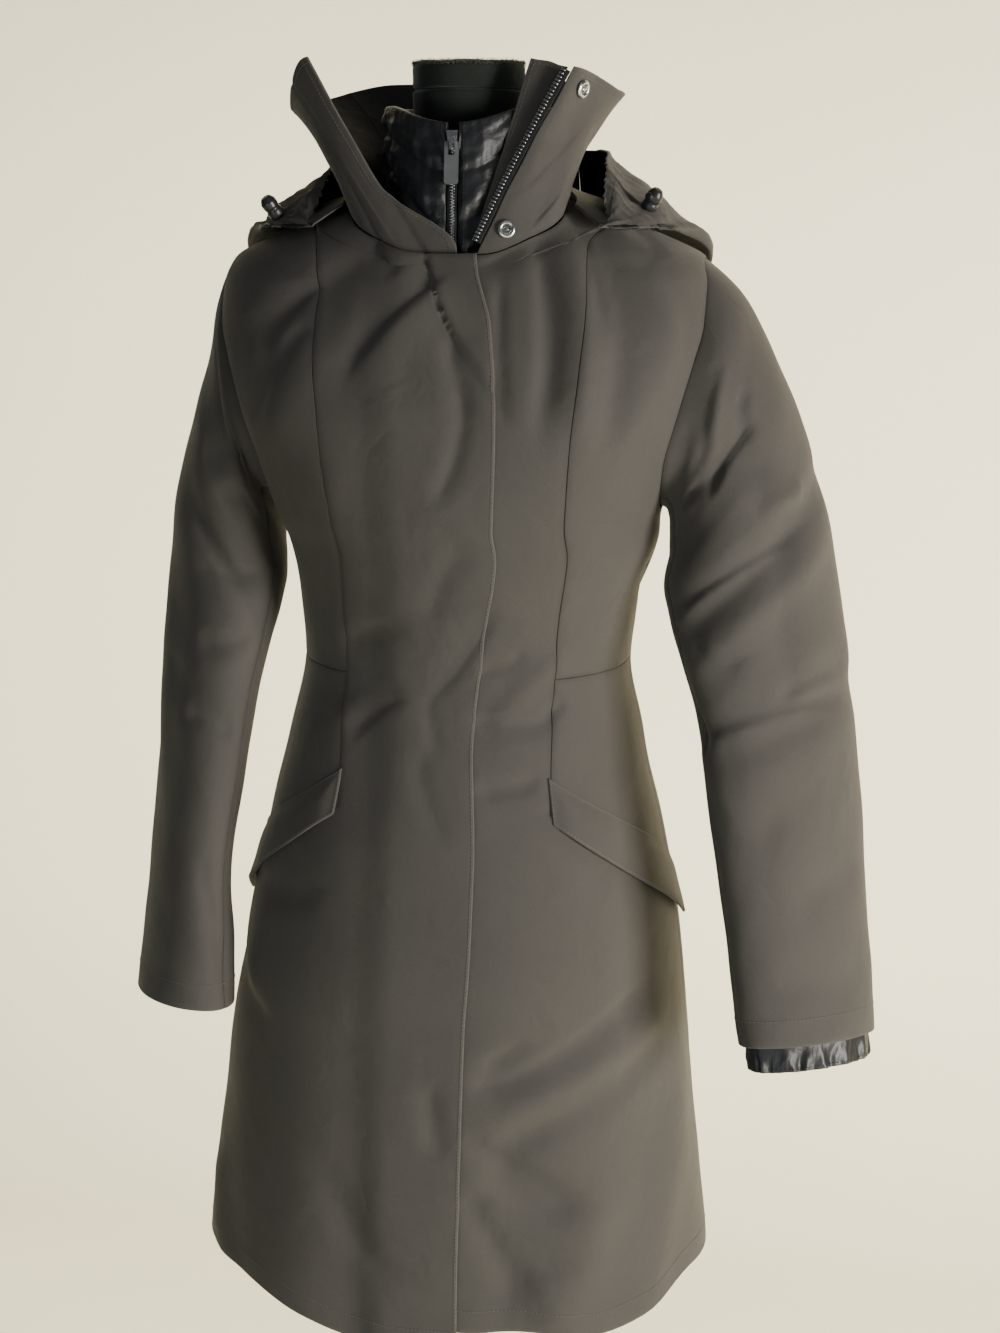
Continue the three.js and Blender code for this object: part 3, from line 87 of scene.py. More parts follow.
# The coat's own rings: half width, depth in front and behind, squareness of the ring
BODY = table("z half front back square middle", [
    (0.470, 0.231, 0.171, 0.172, 2.35, -0.013),
    (0.534, 0.227, 0.168, 0.170, 2.35, -0.013),
    (0.650, 0.214, 0.161, 0.163, 2.30, -0.012),
    (0.777, 0.199, 0.153, 0.156, 2.30, -0.010),
    (0.836, 0.190, 0.148, 0.151, 2.30, -0.007),
    (0.921, 0.172, 0.138, 0.140, 2.25, -0.005),
    (0.994, 0.155, 0.124, 0.120, 2.20, -0.004),
    (1.066, 0.141, 0.113, 0.099, 2.20, -0.002),
    (1.120, 0.145, 0.118, 0.101, 2.25, 0.000),
    (1.168, 0.156, 0.126, 0.108, 2.35, 0.004),
    (1.195, 0.163, 0.131, 0.111, 2.45, 0.000),
    (1.235, 0.176, 0.135, 0.115, 2.60, 0.000),
    (1.273, 0.190, 0.134, 0.116, 2.70, 0.000),
    (1.320, 0.203, 0.124, 0.113, 2.70, 0.000),
    (1.350, 0.208, 0.114, 0.107, 2.65, 0.000),
    (1.380, 0.205, 0.102, 0.098, 2.50, 0.000),
    (1.400, 0.194, 0.093, 0.090, 2.35, 0.000),
    (1.415, 0.165, 0.086, 0.083, 2.25, 0.000),
    (1.430, 0.125, 0.078, 0.077, 2.20, 0.000),
    (1.450, 0.075, 0.066, 0.070, 2.10, 0.000),
])
NECKLINE = table("angle z", [
    (0, 1.403), (18, 1.404), (38, 1.416), (62, 1.436), (90, 1.450), (135, 1.447), (180, 1.444),
])
HEMLINE = table("angle z", [
    (-180, 0.502), (-120, 0.508), (-90, 0.521), (-72, 0.524), (-52, 0.520), (-35, 0.505), (-20, 0.492),
    (10.5, 0.491), (14, 0.509), (32, 0.510), (46, 0.504), (60, 0.511), (75, 0.527), (90, 0.525),
    (120, 0.508), (180, 0.502),
])
SEAMS = table("z princess back", [
    (0.950, 0.089, 0.092), (1.066, 0.087, 0.084), (1.148, 0.091, 0.088), (1.272, 0.100, 0.100),
    (1.434, 0.108, 0.108),
])
FLY = table("z edge", [
    (0.500, 0.028), (0.916, 0.031), (1.020, 0.026), (1.150, 0.037), (1.270, 0.043), (1.350, 0.036),
    (1.403, 0.022),
])
ARMHOLE = table("z edge", [
    (1.195, 0.163), (1.235, 0.167), (1.273, 0.177), (1.320, 0.190), (1.350, 0.197), (1.380, 0.198),
    (1.400, 0.194),
])
FLY_LAP = {"from": -0.068, "width": 0.034, "under_angle": -4, "hem_angle": 14}

# Where a fold starts and ends, its width and its rise
FOLD_COLUMNS = "from_angle from_z to_angle to_z width rise"
BODY_FOLDS = table(FOLD_COLUMNS, [
    (60, 1.424, 49, 1.270, 0.010, -0.0060),
    (48, 1.410, 41, 1.290, 0.009, 0.0040),
    (39, 1.400, 32, 1.280, 0.009, -0.0040),
    (70, 1.405, 61, 1.300, 0.010, 0.0035),
    (-28, 1.370, -56, 1.262, 0.020, 0.0035),
    (-38, 1.400, -66, 1.330, 0.014, -0.0030),
    (20, 1.040, 44, 1.082, 0.011, 0.0030),
    (-20, 1.050, -44, 1.030, 0.012, 0.0025),
    (66, 0.772, 20, 0.706, 0.015, 0.0050),
    (66, 0.740, 20, 0.672, 0.013, -0.0045),
    (18, 0.650, 36, 0.616, 0.012, -0.0045),
    (76, 0.700, 58, 0.505, 0.016, 0.0050),
    (48, 0.620, 34, 0.500, 0.014, 0.0040),
    (-60, 0.700, -50, 0.500, 0.020, 0.0030),
    (-88, 0.760, -84, 0.520, 0.018, -0.0040),
    (130, 0.900, 122, 0.520, 0.022, 0.0050),
    (-132, 0.880, -126, 0.520, 0.022, 0.0050),
    (165, 1.090, 120, 1.060, 0.013, -0.0030),
    (-165, 1.085, -120, 1.050, 0.013, -0.0030),
])
# Creases that the solids leave out: the middle bends aside, and a leaning one is steeper on one side
CREASE_COLUMNS = FOLD_COLUMNS + " bend lean"
BODY_CREASES = table(CREASE_COLUMNS, [
    (57, 1.417, 51, 1.350, 0.006, -0.0022, 0.003, 0.3),
    (41, 1.396, 35, 1.300, 0.006, -0.0018, -0.002, 0.3),
    (38, 1.404, 50, 1.414, 0.004, -0.0016, -0.004, 0.0),
    (19, 1.397, 66, 1.433, 0.006, -0.0016, 0.000, 0.2),
    (22, 1.377, 20, 1.290, 0.006, -0.0028, 0.002, 0.0),
    (79, 1.424, 64, 1.392, 0.007, -0.0020, 0.000, 0.3),
    (69, 1.399, 70, 1.330, 0.008, -0.0022, 0.003, 0.0),
    (78, 1.360, 72, 1.266, 0.010, -0.0028, 0.004, -0.3),
    (-35, 1.411, -22, 1.393, 0.006, -0.0030, 0.004, 0.3),
    (-11, 1.398, 15, 1.306, 0.010, -0.0017, 0.003, 0.4),
    (2, 1.332, 8, 1.288, 0.009, -0.0016, 0.000, 0.0),
    (8, 1.286, 0, 1.222, 0.009, -0.0015, -0.003, 0.0),
    (-3, 1.377, -28, 1.316, 0.016, 0.0026, 0.006, -0.4),
    (-50, 1.374, -56, 1.336, 0.007, -0.0028, 0.002, 0.3),
    (-56, 1.334, -58, 1.276, 0.008, -0.0024, -0.003, 0.0),
    (-47, 1.346, -52, 1.312, 0.006, -0.0020, 0.002, 0.0),
    (5, 1.178, -6, 1.126, 0.012, -0.0010, 0.003, 0.0),
    (17, 1.119, -2, 1.059, 0.013, -0.0012, -0.004, 0.3),
    (-18, 1.049, -35, 1.020, 0.010, -0.0014, 0.003, 0.3),
    (-6, 1.052, -2, 1.010, 0.009, -0.0008, 0.002, 0.0),
    (-8, 1.002, 1, 0.946, 0.011, -0.0009, 0.004, 0.0),
    (-41, 1.093, -18, 1.112, 0.011, -0.0013, -0.003, 0.2),
    (15, 1.036, 39, 1.033, 0.008, -0.0018, 0.002, 0.3),
    (39, 1.034, 46, 1.046, 0.006, -0.0018, 0.000, 0.0),
    (16, 1.077, 30, 1.085, 0.006, -0.0018, 0.001, 0.0),
    (16, 0.979, 33, 0.984, 0.007, -0.0015, 0.002, 0.0),
    (-76, 0.868, -44, 0.878, 0.013, -0.0018, 0.003, 0.0),
    (16, 0.729, 20, 0.755, 0.008, -0.0030, 0.000, 0.2),
    (20, 0.754, 27, 0.768, 0.008, -0.0026, 0.002, 0.2),
    (22, 0.733, 58, 0.794, 0.013, -0.0026, 0.004, 0.3),
    (14, 0.685, 25, 0.660, 0.008, -0.0030, 0.002, 0.2),
    (25, 0.660, 41, 0.620, 0.010, -0.0028, -0.003, 0.2),
    (14, 0.632, 19, 0.595, 0.009, -0.0030, 0.002, 0.0),
    (19, 0.594, 27, 0.548, 0.010, -0.0030, -0.002, 0.2),
    (33, 0.560, 33, 0.520, 0.011, 0.0030, 0.000, 0.0),
    (-80, 0.810, -56, 0.762, 0.014, -0.0025, 0.006, 0.2),
    (1, 0.727, 4, 0.674, 0.010, -0.0018, 0.002, 0.0),
    (-30, 0.640, -12, 0.560, 0.013, -0.0018, 0.005, 0.0),
    (-70, 0.600, -62, 0.520, 0.012, 0.0024, 0.003, 0.0),
    (152, 1.330, 122, 1.236, 0.012, -0.0026, 0.005, 0.3),
    (-156, 1.310, -124, 1.228, 0.013, -0.0023, -0.005, 0.2),
    (172, 1.030, 132, 1.000, 0.010, -0.0024, 0.004, 0.3),
    (-170, 1.140, -128, 1.118, 0.009, -0.0020, 0.003, 0.0),
    (-176, 1.020, -140, 0.984, 0.011, -0.0022, -0.004, 0.2),
    (138, 0.830, 166, 0.724, 0.014, -0.0026, 0.006, 0.2),
    (-140, 0.800, -172, 0.690, 0.015, -0.0024, 0.006, 0.0),
    (106, 0.760, 112, 0.600, 0.014, 0.0026, 0.004, 0.0),
    (-104, 0.780, -110, 0.610, 0.015, 0.0024, -0.004, 0.0),
    (178, 1.400, 160, 1.300, 0.014, -0.0020, 0.004, 0.0),
    (86, 1.150, 104, 1.100, 0.009, -0.0022, 0.003, 0.2),
    (-86, 1.140, -104, 1.090, 0.009, -0.0022, 0.003, 0.2),
])
METRES_PER_DEGREE = 0.0025
FOLD_END = {"past": 0.25, "over": 0.4}
FOLD_FREE_FRONT = {"from": 0.029, "over": 0.048}
FOLD_REACH = {"top": 1.44, "over": 0.05, "armhole": 0.016}
HEM_WAVE = {"rise": 0.0032, "count": 9, "phase": 20, "reach": 0.330}

# Sleeve rings below the armhole: centre, tilt and lean, half widths, turn of the flat face
SLEEVE_COLUMNS = "x y z tilt lean wide deep turn"
LEFT_SLEEVE = table(SLEEVE_COLUMNS, [
    (0.197, -0.004, 1.281, 72, 0, 0.093, 0.066, 0),
    (0.211, -0.008, 1.250, 61, 2, 0.084, 0.063, 4),
    (0.224, -0.013, 1.212, 45, 4, 0.076, 0.059, 12),
    (0.233, -0.021, 1.168, 28, 7, 0.077, 0.053, 25),
    (0.245, -0.031, 1.115, 16, 9, 0.079, 0.046, 35),
    (0.261, -0.044, 1.050, 11, 10, 0.075, 0.042, 38),
    (0.272, -0.060, 0.975, 8, 11, 0.074, 0.038, 38),
    (0.284, -0.078, 0.890, 7, 12, 0.070, 0.035, 38),
    (0.293, -0.094, 0.820, 6, 12, 0.067, 0.033, 36),
    (0.299, -0.106, 0.774, 5, 12, 0.064, 0.032, 34),
])
RIGHT_SLEEVE = table(SLEEVE_COLUMNS, [
    (0.190, -0.003, 1.281, 77, 0, 0.087, 0.066, 0),
    (0.192, -0.006, 1.250, 69, 2, 0.076, 0.063, 8),
    (0.199, -0.009, 1.212, 55, 4, 0.066, 0.059, 20),
    (0.206, -0.014, 1.168, 34, 6, 0.063, 0.051, 36),
    (0.213, -0.020, 1.115, 16, 7, 0.067, 0.044, 50),
    (0.224, -0.028, 1.050, 9, 8, 0.068, 0.040, 58),
    (0.232, -0.038, 0.975, 7, 8, 0.067, 0.036, 60),
    (0.242, -0.050, 0.890, 6, 8, 0.065, 0.033, 60),
    (0.242, -0.067, 0.820, 5, 8, 0.064, 0.036, 56),
    (0.243, -0.080, 0.766, 4, 8, 0.061, 0.039, 50),
])
LEFT_SLEEVE_FOLDS = table(FOLD_COLUMNS, [
    (0, 3.6, 128, 5.0, 0.012, -0.005),
    (20, 4.4, 132, 5.6, 0.012, 0.004),
    (-15, 6.0, 118, 6.6, 0.013, -0.004),
    (100, 1.6, 62, 3.1, 0.011, -0.005),
    (210, 4.6, 300, 5.2, 0.014, -0.004),
])
RIGHT_SLEEVE_FOLDS = table(FOLD_COLUMNS, [
    (60, 3.8, 140, 5.2, 0.013, -0.004),
    (40, 6.0, 130, 6.6, 0.014, -0.003),
    (105, 1.6, 70, 3.0, 0.012, -0.004),
    (210, 4.6, 300, 5.2, 0.014, -0.004),
])
LEFT_SLEEVE_CREASES = table(CREASE_COLUMNS, [
    (56, 1.80, 66, 2.36, 0.008, -0.0040, 0.004, 0.2),
    (64, 2.34, 100, 2.46, 0.009, -0.0046, 0.005, 0.3),
    (98, 2.46, 128, 1.90, 0.009, -0.0034, 0.004, 0.2),
    (70, 1.20, 92, 1.90, 0.010, 0.0030, 0.003, 0.0),
    (64, 3.62, 34, 3.64, 0.009, 0.0030, 0.002, 0.0),
    (46, 4.12, 136, 4.62, 0.009, -0.0032, 0.005, 0.4),
    (49, 4.06, 62, 5.80, 0.012, -0.0022, 0.004, 0.0),
    (8, 5.86, 64, 5.98, 0.009, -0.0030, 0.003, 0.3),
    (20, 6.14, 150, 6.38, 0.009, -0.0036, 0.006, 0.3),
    (150, 6.12, 142, 6.50, 0.007, -0.0020, 0.002, 0.0),
    (126, 5.20, 96, 5.50, 0.008, -0.0024, 0.004, 0.2),
    (140, 7.20, 84, 7.34, 0.012, -0.0018, 0.005, 0.0),
    (20, 7.90, 70, 8.10, 0.013, -0.0015, 0.004, 0.0),
    (134, 8.80, 20, 8.96, 0.016, -0.0014, 0.006, 0.0),
    (230, 3.20, 300, 3.70, 0.010, -0.0028, 0.005, 0.3),
    (216, 5.60, 286, 5.90, 0.010, -0.0030, 0.004, 0.2),
    (250, 1.40, 290, 2.20, 0.011, -0.0024, 0.004, 0.0),
    (210, 7.10, 268, 7.30, 0.013, -0.0020, 0.004, 0.0),
])
RIGHT_SLEEVE_CREASES = table(CREASE_COLUMNS, [
    (50, 0.90, 82, 1.90, 0.009, -0.0022, 0.003, 0.0),
    (100, 1.40, 124, 2.20, 0.009, -0.0034, 0.004, 0.2),
    (118, 2.40, 90, 3.20, 0.010, -0.0026, 0.004, 0.2),
    (126, 4.30, 70, 4.60, 0.010, -0.0024, 0.005, 0.2),
    (128, 5.40, 84, 5.60, 0.009, -0.0020, 0.003, 0.0),
    (76, 6.54, 128, 6.66, 0.008, -0.0028, 0.003, 0.3),
    (122, 8.30, 150, 9.60, 0.012, -0.0022, 0.003, 0.0),
    (20, 5.00, 34, 7.00, 0.014, 0.0018, 0.004, 0.0),
    (70, 7.90, 120, 8.10, 0.013, -0.0014, 0.004, 0.0),
    (226, 3.30, 296, 3.80, 0.010, -0.0028, 0.005, 0.3),
    (214, 5.70, 280, 6.00, 0.010, -0.0028, 0.004, 0.2),
    (248, 1.50, 292, 2.30, 0.011, -0.0024, 0.004, 0.0),
])
SLEEVE_METRES_PER_DEGREE = 0.001
SLEEVE_METRES_PER_RING = 0.062
SLEEVE_FOLDS_FROM = 0.6
SLEEVE_ROUND = (0.06, 0.05)
SLEEVE_SEAMS = {"front": 150, "back": 255, "gap": 0.12}

# The collar's free top edge, by angle round the neck, and how far each line bows
COLLAR_TOP = table("angle x y z bow", [
    (-180, 0.000, 0.096, 1.540, 0.006),
    (-140, -0.080, 0.080, 1.538, 0.008),
    (-105, -0.128, 0.038, 1.524, 0.010),
    (-72, -0.147, -0.004, 1.516, 0.008),
    (-42, -0.142, -0.024, 1.532, 0.004),
    (-13, -0.124, -0.040, 1.555, -0.003),
    (13, 0.092, -0.057, 1.545, 0.002),
    (38, 0.108, -0.036, 1.539, 0.005),
    (70, 0.127, -0.002, 1.526, 0.008),
    (105, 0.120, 0.040, 1.530, 0.010),
    (140, 0.078, 0.080, 1.540, 0.008),
    (180, 0.000, 0.096, 1.540, 0.006),
])
COLLAR_SPLITS = {"right": -118, "left": 118, "front": 13, "gap": 0.08}
COLLAR_FOOT = {"past": 16.5, "share": 0.36}
COLLAR_METRES_PER_DEGREE = 0.0019
COLLAR_TALL = 0.14
COLLAR_CREASES = table(CREASE_COLUMNS, [
    (-27, 0.02, -38, 0.98, 0.0035, -0.0022, 0.000, 0.3),
    (-60, 0.10, -70, 0.55, 0.0070, -0.0020, 0.004, 0.0),
    (-88, 0.30, -96, 0.80, 0.0080, -0.0022, 0.004, 0.2),
    (22, 0.30, 46, 0.62, 0.0070, -0.0018, 0.005, 0.3),
    (40, 0.06, 62, 0.50, 0.0070, -0.0026, 0.004, 0.3),
    (58, 0.60, 44, 0.96, 0.0060, -0.0016, 0.003, 0.0),
    (78, 0.12, 88, 0.66, 0.0080, -0.0024, 0.005, 0.2),
    (100, 0.40, 112, 0.84, 0.0080, -0.0018, 0.004, 0.0),
    (150, 0.20, 168, 0.70, 0.0090, -0.0018, 0.005, 0.0),
    (-150, 0.30, -164, 0.75, 0.0090, -0.0018, 0.005, 0.0),
])
FACING = {
    "top": (0.057, -0.049, 1.551), "bottom": (0.017, -0.090, 1.408),
    "thick": 0.002, "inwards": 0.006, "edge_behind": 0.0042, "behind": 0.002, "up": 0.0012, "foot": 0.06,
}
HOOD = table("angle fold_z x y z bulge", [
    (60, 1.418, 0.118, -0.052, 1.436, 0.007),
    (72, 1.415, 0.114, -0.030, 1.457, 0.012),
    (88, 1.412, 0.110, 0.014, 1.476, 0.018),
    (110, 1.375, 0.108, 0.062, 1.484, 0.026),
    (140, 1.300, 0.084, 0.112, 1.486, 0.034),
    (180, 1.262, 0.000, 0.134, 1.480, 0.038),
])
HOOD_CRUMPLE = {"rise": 0.0022, "at_front": 0.7, "size": 0.045, "fine": 0.026, "gathers": 0.0016}
HOOD_CLOTH = {"per_degree": 0.0022, "length": 0.22, "lifted": 0.6}
HOOD_FRONT = {"from": 60, "over": 9}
HOOD_WALL = 0.002
HOOD_LIFT = 0.006
HOOD_SEAM_ANGLE = 146
HOOD_CURVE = {"fold_share": 0.45, "leave": 0.8, "out": 0.5, "rim_out": 1.3, "rim_drop": 0.35, "foot": 0.002}

LINER = {
    "side": 0.066, "front": 0.083, "back": 0.064, "top_front": 0.074, "front_z": 1.400,
    "top_z": 1.503, "side_top_z": 1.517, "thick": 0.007, "edge": 3.4, "back_seam": 150, "foot": 0.012,
}
LINER_BOTTOM = table("angle z", [
    (0, 1.391), (15, 1.397), (30, 1.420), (45, 1.437), (60, 1.448), (75, 1.4504),
])
LINER_CHANNEL = {"rise": 0.0014, "count": 3}
LINER_CUFF = {
    "inset": 0.0032, "thick": 0.002, "from": 0.45, "to": 1.44, "taper_wide": 0.003, "taper_deep": 0.002,
    "split": 150, "gap": 0.3,
}
CUFF_CRINKLES = table(CREASE_COLUMNS, [
    (-28, 0.90, -22, 1.44, 0.0040, 0.0022, 0.001, 0.3),
    (-10, 1.00, -14, 1.44, 0.0030, -0.0018, 0.001, 0.0),
    (2, 0.95, 10, 1.40, 0.0040, 0.0020, 0.001, 0.3),
    (20, 1.00, 15, 1.44, 0.0030, -0.0016, 0.001, 0.0),
    (31, 0.90, 36, 1.44, 0.0050, 0.0022, 0.002, 0.2),
    (47, 1.05, 52, 1.44, 0.0030, -0.0020, 0.001, 0.0),
    (62, 0.95, 58, 1.44, 0.0040, 0.0022, 0.001, 0.3),
    (76, 1.00, 82, 1.40, 0.0030, -0.0018, 0.001, 0.0),
    (92, 0.90, 88, 1.44, 0.0045, 0.0020, 0.001, 0.3),
    (108, 1.00, 114, 1.44, 0.0030, -0.0018, 0.001, 0.0),
    (124, 0.95, 120, 1.44, 0.0045, 0.0018, 0.001, 0.2),
    (142, 1.00, 148, 1.44, 0.0035, -0.0016, 0.001, 0.0),
    (170, 0.90, 164, 1.44, 0.0045, 0.0018, 0.001, 0.2),
    (196, 1.00, 202, 1.44, 0.0035, -0.0016, 0.001, 0.0),
    (226, 0.90, 220, 1.44, 0.0045, 0.0018, 0.001, 0.2),
    (252, 1.00, 258, 1.44, 0.0035, -0.0016, 0.001, 0.0),
    (284, 0.90, 278, 1.44, 0.0045, 0.0018, 0.001, 0.2),
    (310, 1.00, 316, 1.44, 0.0035, -0.0016, 0.001, 0.0),
])
LINER_PUFF = {"rise": 0.0034, "uneven": 0.0009, "pucker": 0.0007, "pleats": 0.31}
LINER_ZIP = {"width": 0.009, "thick": 0.0016, "top": 1.497, "foot": 0.02, "margin": 0.0006, "sunk": 0.0012}
ZIP_TAPE = {"width": 0.008, "thick": 0.0016, "aside": 0.0004, "sunk": 0.0005, "foot": 0.05, "head": 0.97}
ZIP_TEETH = {"count": 50, "long": 0.0036, "tall": 0.0018, "thick": 0.0022, "inset": 0.0030}
LINER_TEETH = {"count": 44, "long": 0.0026, "tall": 0.0013, "thick": 0.0014}
POCKET_ZIP = {"from": 78, "to": 88, "low": 0, "high": 0.009, "lift": 0.0015, "thick": 0.0011}
WELT = {
    "below": 0.006, "inner_tall": 0.038, "outer_tall": 0.058, "overlap": 0.6, "end_angle": 91, "seat": 0.0004,
    "sewn_down": 0.0031, "sewn_over": 0.012,
}
POCKET_TOOTH = {"pitch": 0.0024, "size": (0.0022, 0.0012, 0.0012)}
WELT_OPENING = {"from_angle": 60, "angles": 26, "from_height": 0.030, "heights": 0.040, "rise": 0.003}
SNAP = {"radius": 0.007, "hole": 0.0034, "height": 0.002}
SNAPS = {"snap_upper": (30, 0.9), "snap_lower": (23, 0.12)}
SIDES = (("right", -1), ("left", 1))
STUD = {"angle": -19, "share": 0.2, "radius": 0.006}
CORD_LOCK = {"radius": 0.0065, "length": 0.020}
CORD_LOCKS = {"right": (-74, 0.66, 0.0014), "left": (78, 0.72, -0.0004)}
FORM_FRONT = {"from_z": 1.345, "heights": 0.040, "to_angle": 66, "angles": 24}
FORM_SEAT = {"from_z": 1.394, "heights": 0.006, "to_angle": 18, "angles": 8}
FORM_BOTTOM = 0.770
FORM_CLEARANCE = 0.012
FORM_NECK_ROOM = 0.024
SHOULDER_SEAT = 0.0008

# The photo's camera: its focal length and height in pixels, its distance, and its place and tilt
PHOTO = {"focal": 1900, "tall": 1333, "away": 1.6, "aside": 0.025, "height": 1.45, "turn": 9, "down": 14}

# Creases and their lean are deepened by this much, up to a share of their own width
CREASE_DEPTH = {"body": 1.8, "sleeve": 1.7, "most": 0.42, "lean": 1.7}

# Soft unevenness of each cloth: its rise, the size of its waves and its seed
UNEVEN = {
    "body": (0.0009, 0.09, 3), "sleeve": (0.0008, 0.07, 5), "collar": (0.0007, 0.055, 8),
    "cuff": (0.0009, 0.011, 21), "flap": (0.0006, 0.03, 31), "neck_side": (0.0005, 0.03, 51),
    "neck_top": (0.0008, 0.05, 52),
}

# Steps round and along a surface that its outward direction is taken over
COAT_STEPS = (0.2, 0.0005)
SLEEVE_STEPS = (1.0, 0.04)
COLLAR_STEPS = (0.3, 0.02)
HOOD_STEPS = (0.3, 0.01)

# A sewn edge is this many times sharper than a free one, and a sleeve's head tucks this far into the armhole
SEWN_SHARPER = 3.2
SLEEVE_TUCK = {"aside": 0.0017, "over": 0.35}

# A piece of cloth is rounded between these distances from its edge, and sinks towards a seam
EDGE = np.array([0.0, 0.0003, 0.0007, 0.0013, 0.0024])
EDGE_ROUND = {"of_thickness": 0.45, "most": 0.0012, "worn_over": 0.0022}
SEAM_SINK = {"depth": 0.0004, "over": 0.0028}
STITCH = {"wide": 0.0006, "long": 0.76, "tall": 0.0005, "lift": 0.0001}
# How far each row of stitches runs from its edge
STITCH_IN = {
    "fly": 0.0022, "hem": 0.020, "welt_fold": 0.0022, "welt": 0.0016, "sleeve": 0.022, "sleeve_seam": 0.002,
    "collar": 0.006, "flap": 0.004, "hood": 0.012, "hood_seam": 0.003, "liner": 0.003, "liner_zip": 0.004,
}
BODY_CLOTH = ("Outer cloth", "Outer cloth lining")

UP = np.array([0.0, 0.0, 1.0])
LEVEL = np.array([1.0, 1.0, 0.0])


def smooth(t):
    s = np.clip(t, 0.0, 1.0)
    return s * s * (3 - 2 * s)


def mix(a, b, t):
    return a + (b - a) * t


def unit(v):
    return v / np.maximum(np.linalg.norm(v, axis=-1, keepdims=True), 1e-12)


def sine(angle):
    return np.sin(np.radians(angle))


def cosine(angle):
    return np.cos(np.radians(angle))


def read(rows, name, at):
    """A table's column at places between its rows, without overshoot. The first column is the key."""
    keys = next(iter(rows.values()))
    values = rows[name]
    slope = np.diff(values) / np.diff(keys)
    before, after = slope[:-1], slope[1:]
    turning = before * after <= 0
    total = np.where(turning, 1.0, before + after)
    tangent = np.zeros(len(keys))
    tangent[1:-1] = np.where(turning, 0.0, 2 * before * after / total)
    x = np.clip(at, keys[0], keys[-1])
    i = np.clip(np.searchsorted(keys, x, side="right") - 1, 0, len(keys) - 2)
    span = keys[i + 1] - keys[i]
    t = (x - keys[i]) / span
    low = (2 * t**3 - 3 * t**2 + 1) * values[i] + (t**3 - 2 * t**2 + t) * span * tangent[i]
    high = (3 * t**2 - 2 * t**3) * values[i + 1] + (t**3 - t**2) * span * tangent[i + 1]
    return low + high


def fold_rise(folds, across, along, per_across, per_along=1.0, deeper=1.0):
    """How much the folds lift a point."""
    x, y = across * per_across, along * per_along
    rise = np.zeros(np.broadcast(x, y).shape)
    for k, width in enumerate(folds["width"]):
        x0, y0 = folds["from_angle"][k] * per_across, folds["from_z"][k] * per_along
        dx = folds["to_angle"][k] * per_across - x0
        dy = folds["to_z"][k] * per_along - y0
        length = math.hypot(dx, dy)
        t = ((x - x0) * dx + (y - y0) * dy) / length**2
        bend, lean = (folds[name][k] if name in folds else 0.0 for name in ("bend", "lean"))
        off = ((x - x0) * dy - (y - y0) * dx) / length - bend * 4 * t * (1 - t)
        ends = smooth((t + FOLD_END["past"]) / FOLD_END["over"])
        ends = ends * smooth((1 + FOLD_END["past"] - t) / FOLD_END["over"])
        lean = CREASE_DEPTH["lean"] * lean
        most = CREASE_DEPTH["most"] * width if deeper > 1 else 1.0
        height = np.clip(folds["rise"][k] * deeper, -most, most)
        rise = rise + height * ends * np.exp(-((off / (width * (1 + lean * np.sign(off)))) ** 2))
    return rise


def ripple(x, y, size, seed):
    """Soft unevenness between -1 and 1, the same each time, over a length of cloth."""
    chance = np.random.default_rng(seed)
    total = 0.0
    for _ in range(7):
        way = chance.uniform(0, math.pi)
        waves = chance.uniform(0.7, 1.5) * 2 * math.pi / size
        total = total + np.sin(waves * (x * math.cos(way) + y * math.sin(way)) + chance.uniform(0, 6.3))
    return total / 4.5


def uneven(cloth, x, y):
    rise, size, seed = UNEVEN[cloth]
    return rise * ripple(x, y, size, seed)


def depth_at(across, z, side):
    half = read(BODY, "half", z)
    square = read(BODY, "square", z)
    ratio = np.minimum(1.0, np.abs(across) / half)
    return read(BODY, side, z) * (1 - ratio**square) ** (1 / square)


def angle_at(across, z, side):
    depth = depth_at(across, z, side)
    return np.degrees(np.arctan2(across, depth if side == "front" else -depth))


def coat(angle, z, folded=True):
    """A point of the coat's outer face: angle from the centre front, and height."""
    s, c = sine(angle), cosine(angle)
    square = read(BODY, "square", z)
    half = read(BODY, "half", z)
    depth = np.where(c > 0, read(BODY, "front", z), read(BODY, "back", z))
    reach = (np.abs(s / half) ** square + np.abs(c / depth) ** square) ** (-1 / square)
    wave = np.sin(np.radians(angle) * HEM_WAVE["count"] + HEM_WAVE["phase"])
    rise = HEM_WAVE["rise"] * wave * smooth(1 - (z - HEM) / HEM_WAVE["reach"])
    if folded:
        rise = rise + fold_rise(BODY_FOLDS, angle, z, METRES_PER_DEGREE)
    free = smooth((np.abs(reach * s) - FOLD_FREE_FRONT["from"]) / FOLD_FREE_FRONT["over"])
    rise = np.where(c > 0, rise * free, rise)
    if folded:
        rise = rise + fold_rise(BODY_CREASES, angle, z, METRES_PER_DEGREE, deeper=CREASE_DEPTH["body"])
        below_top = smooth((FOLD_REACH["top"] - z) / FOLD_REACH["over"])
        rise = rise + uneven("body", angle * METRES_PER_DEGREE, z) * below_top
        rise = rise * smooth(armhole_distance(angle, z) / FOLD_REACH["armhole"])
    radius = reach + rise
    return np.stack([read(BODY, "middle", z) + radius * s, -radius * c, z + 0 * s], -1)


def plain_coat(angle, z):
    return coat(angle, z, False)


def armhole_distance(angle, z):
    """Length of cloth between a point of the body and the nearer armhole, where folds run out."""
    turn = np.abs(angle)
    beside = np.where(turn < 90, arm_edge(z) - turn, turn - arm_edge(z, "back")) * METRES_PER_DEGREE
    above = np.maximum(np.maximum(z - SHOULDER_TIP, UNDERARM - z), 0)
    return np.hypot(np.maximum(beside, 0), above)


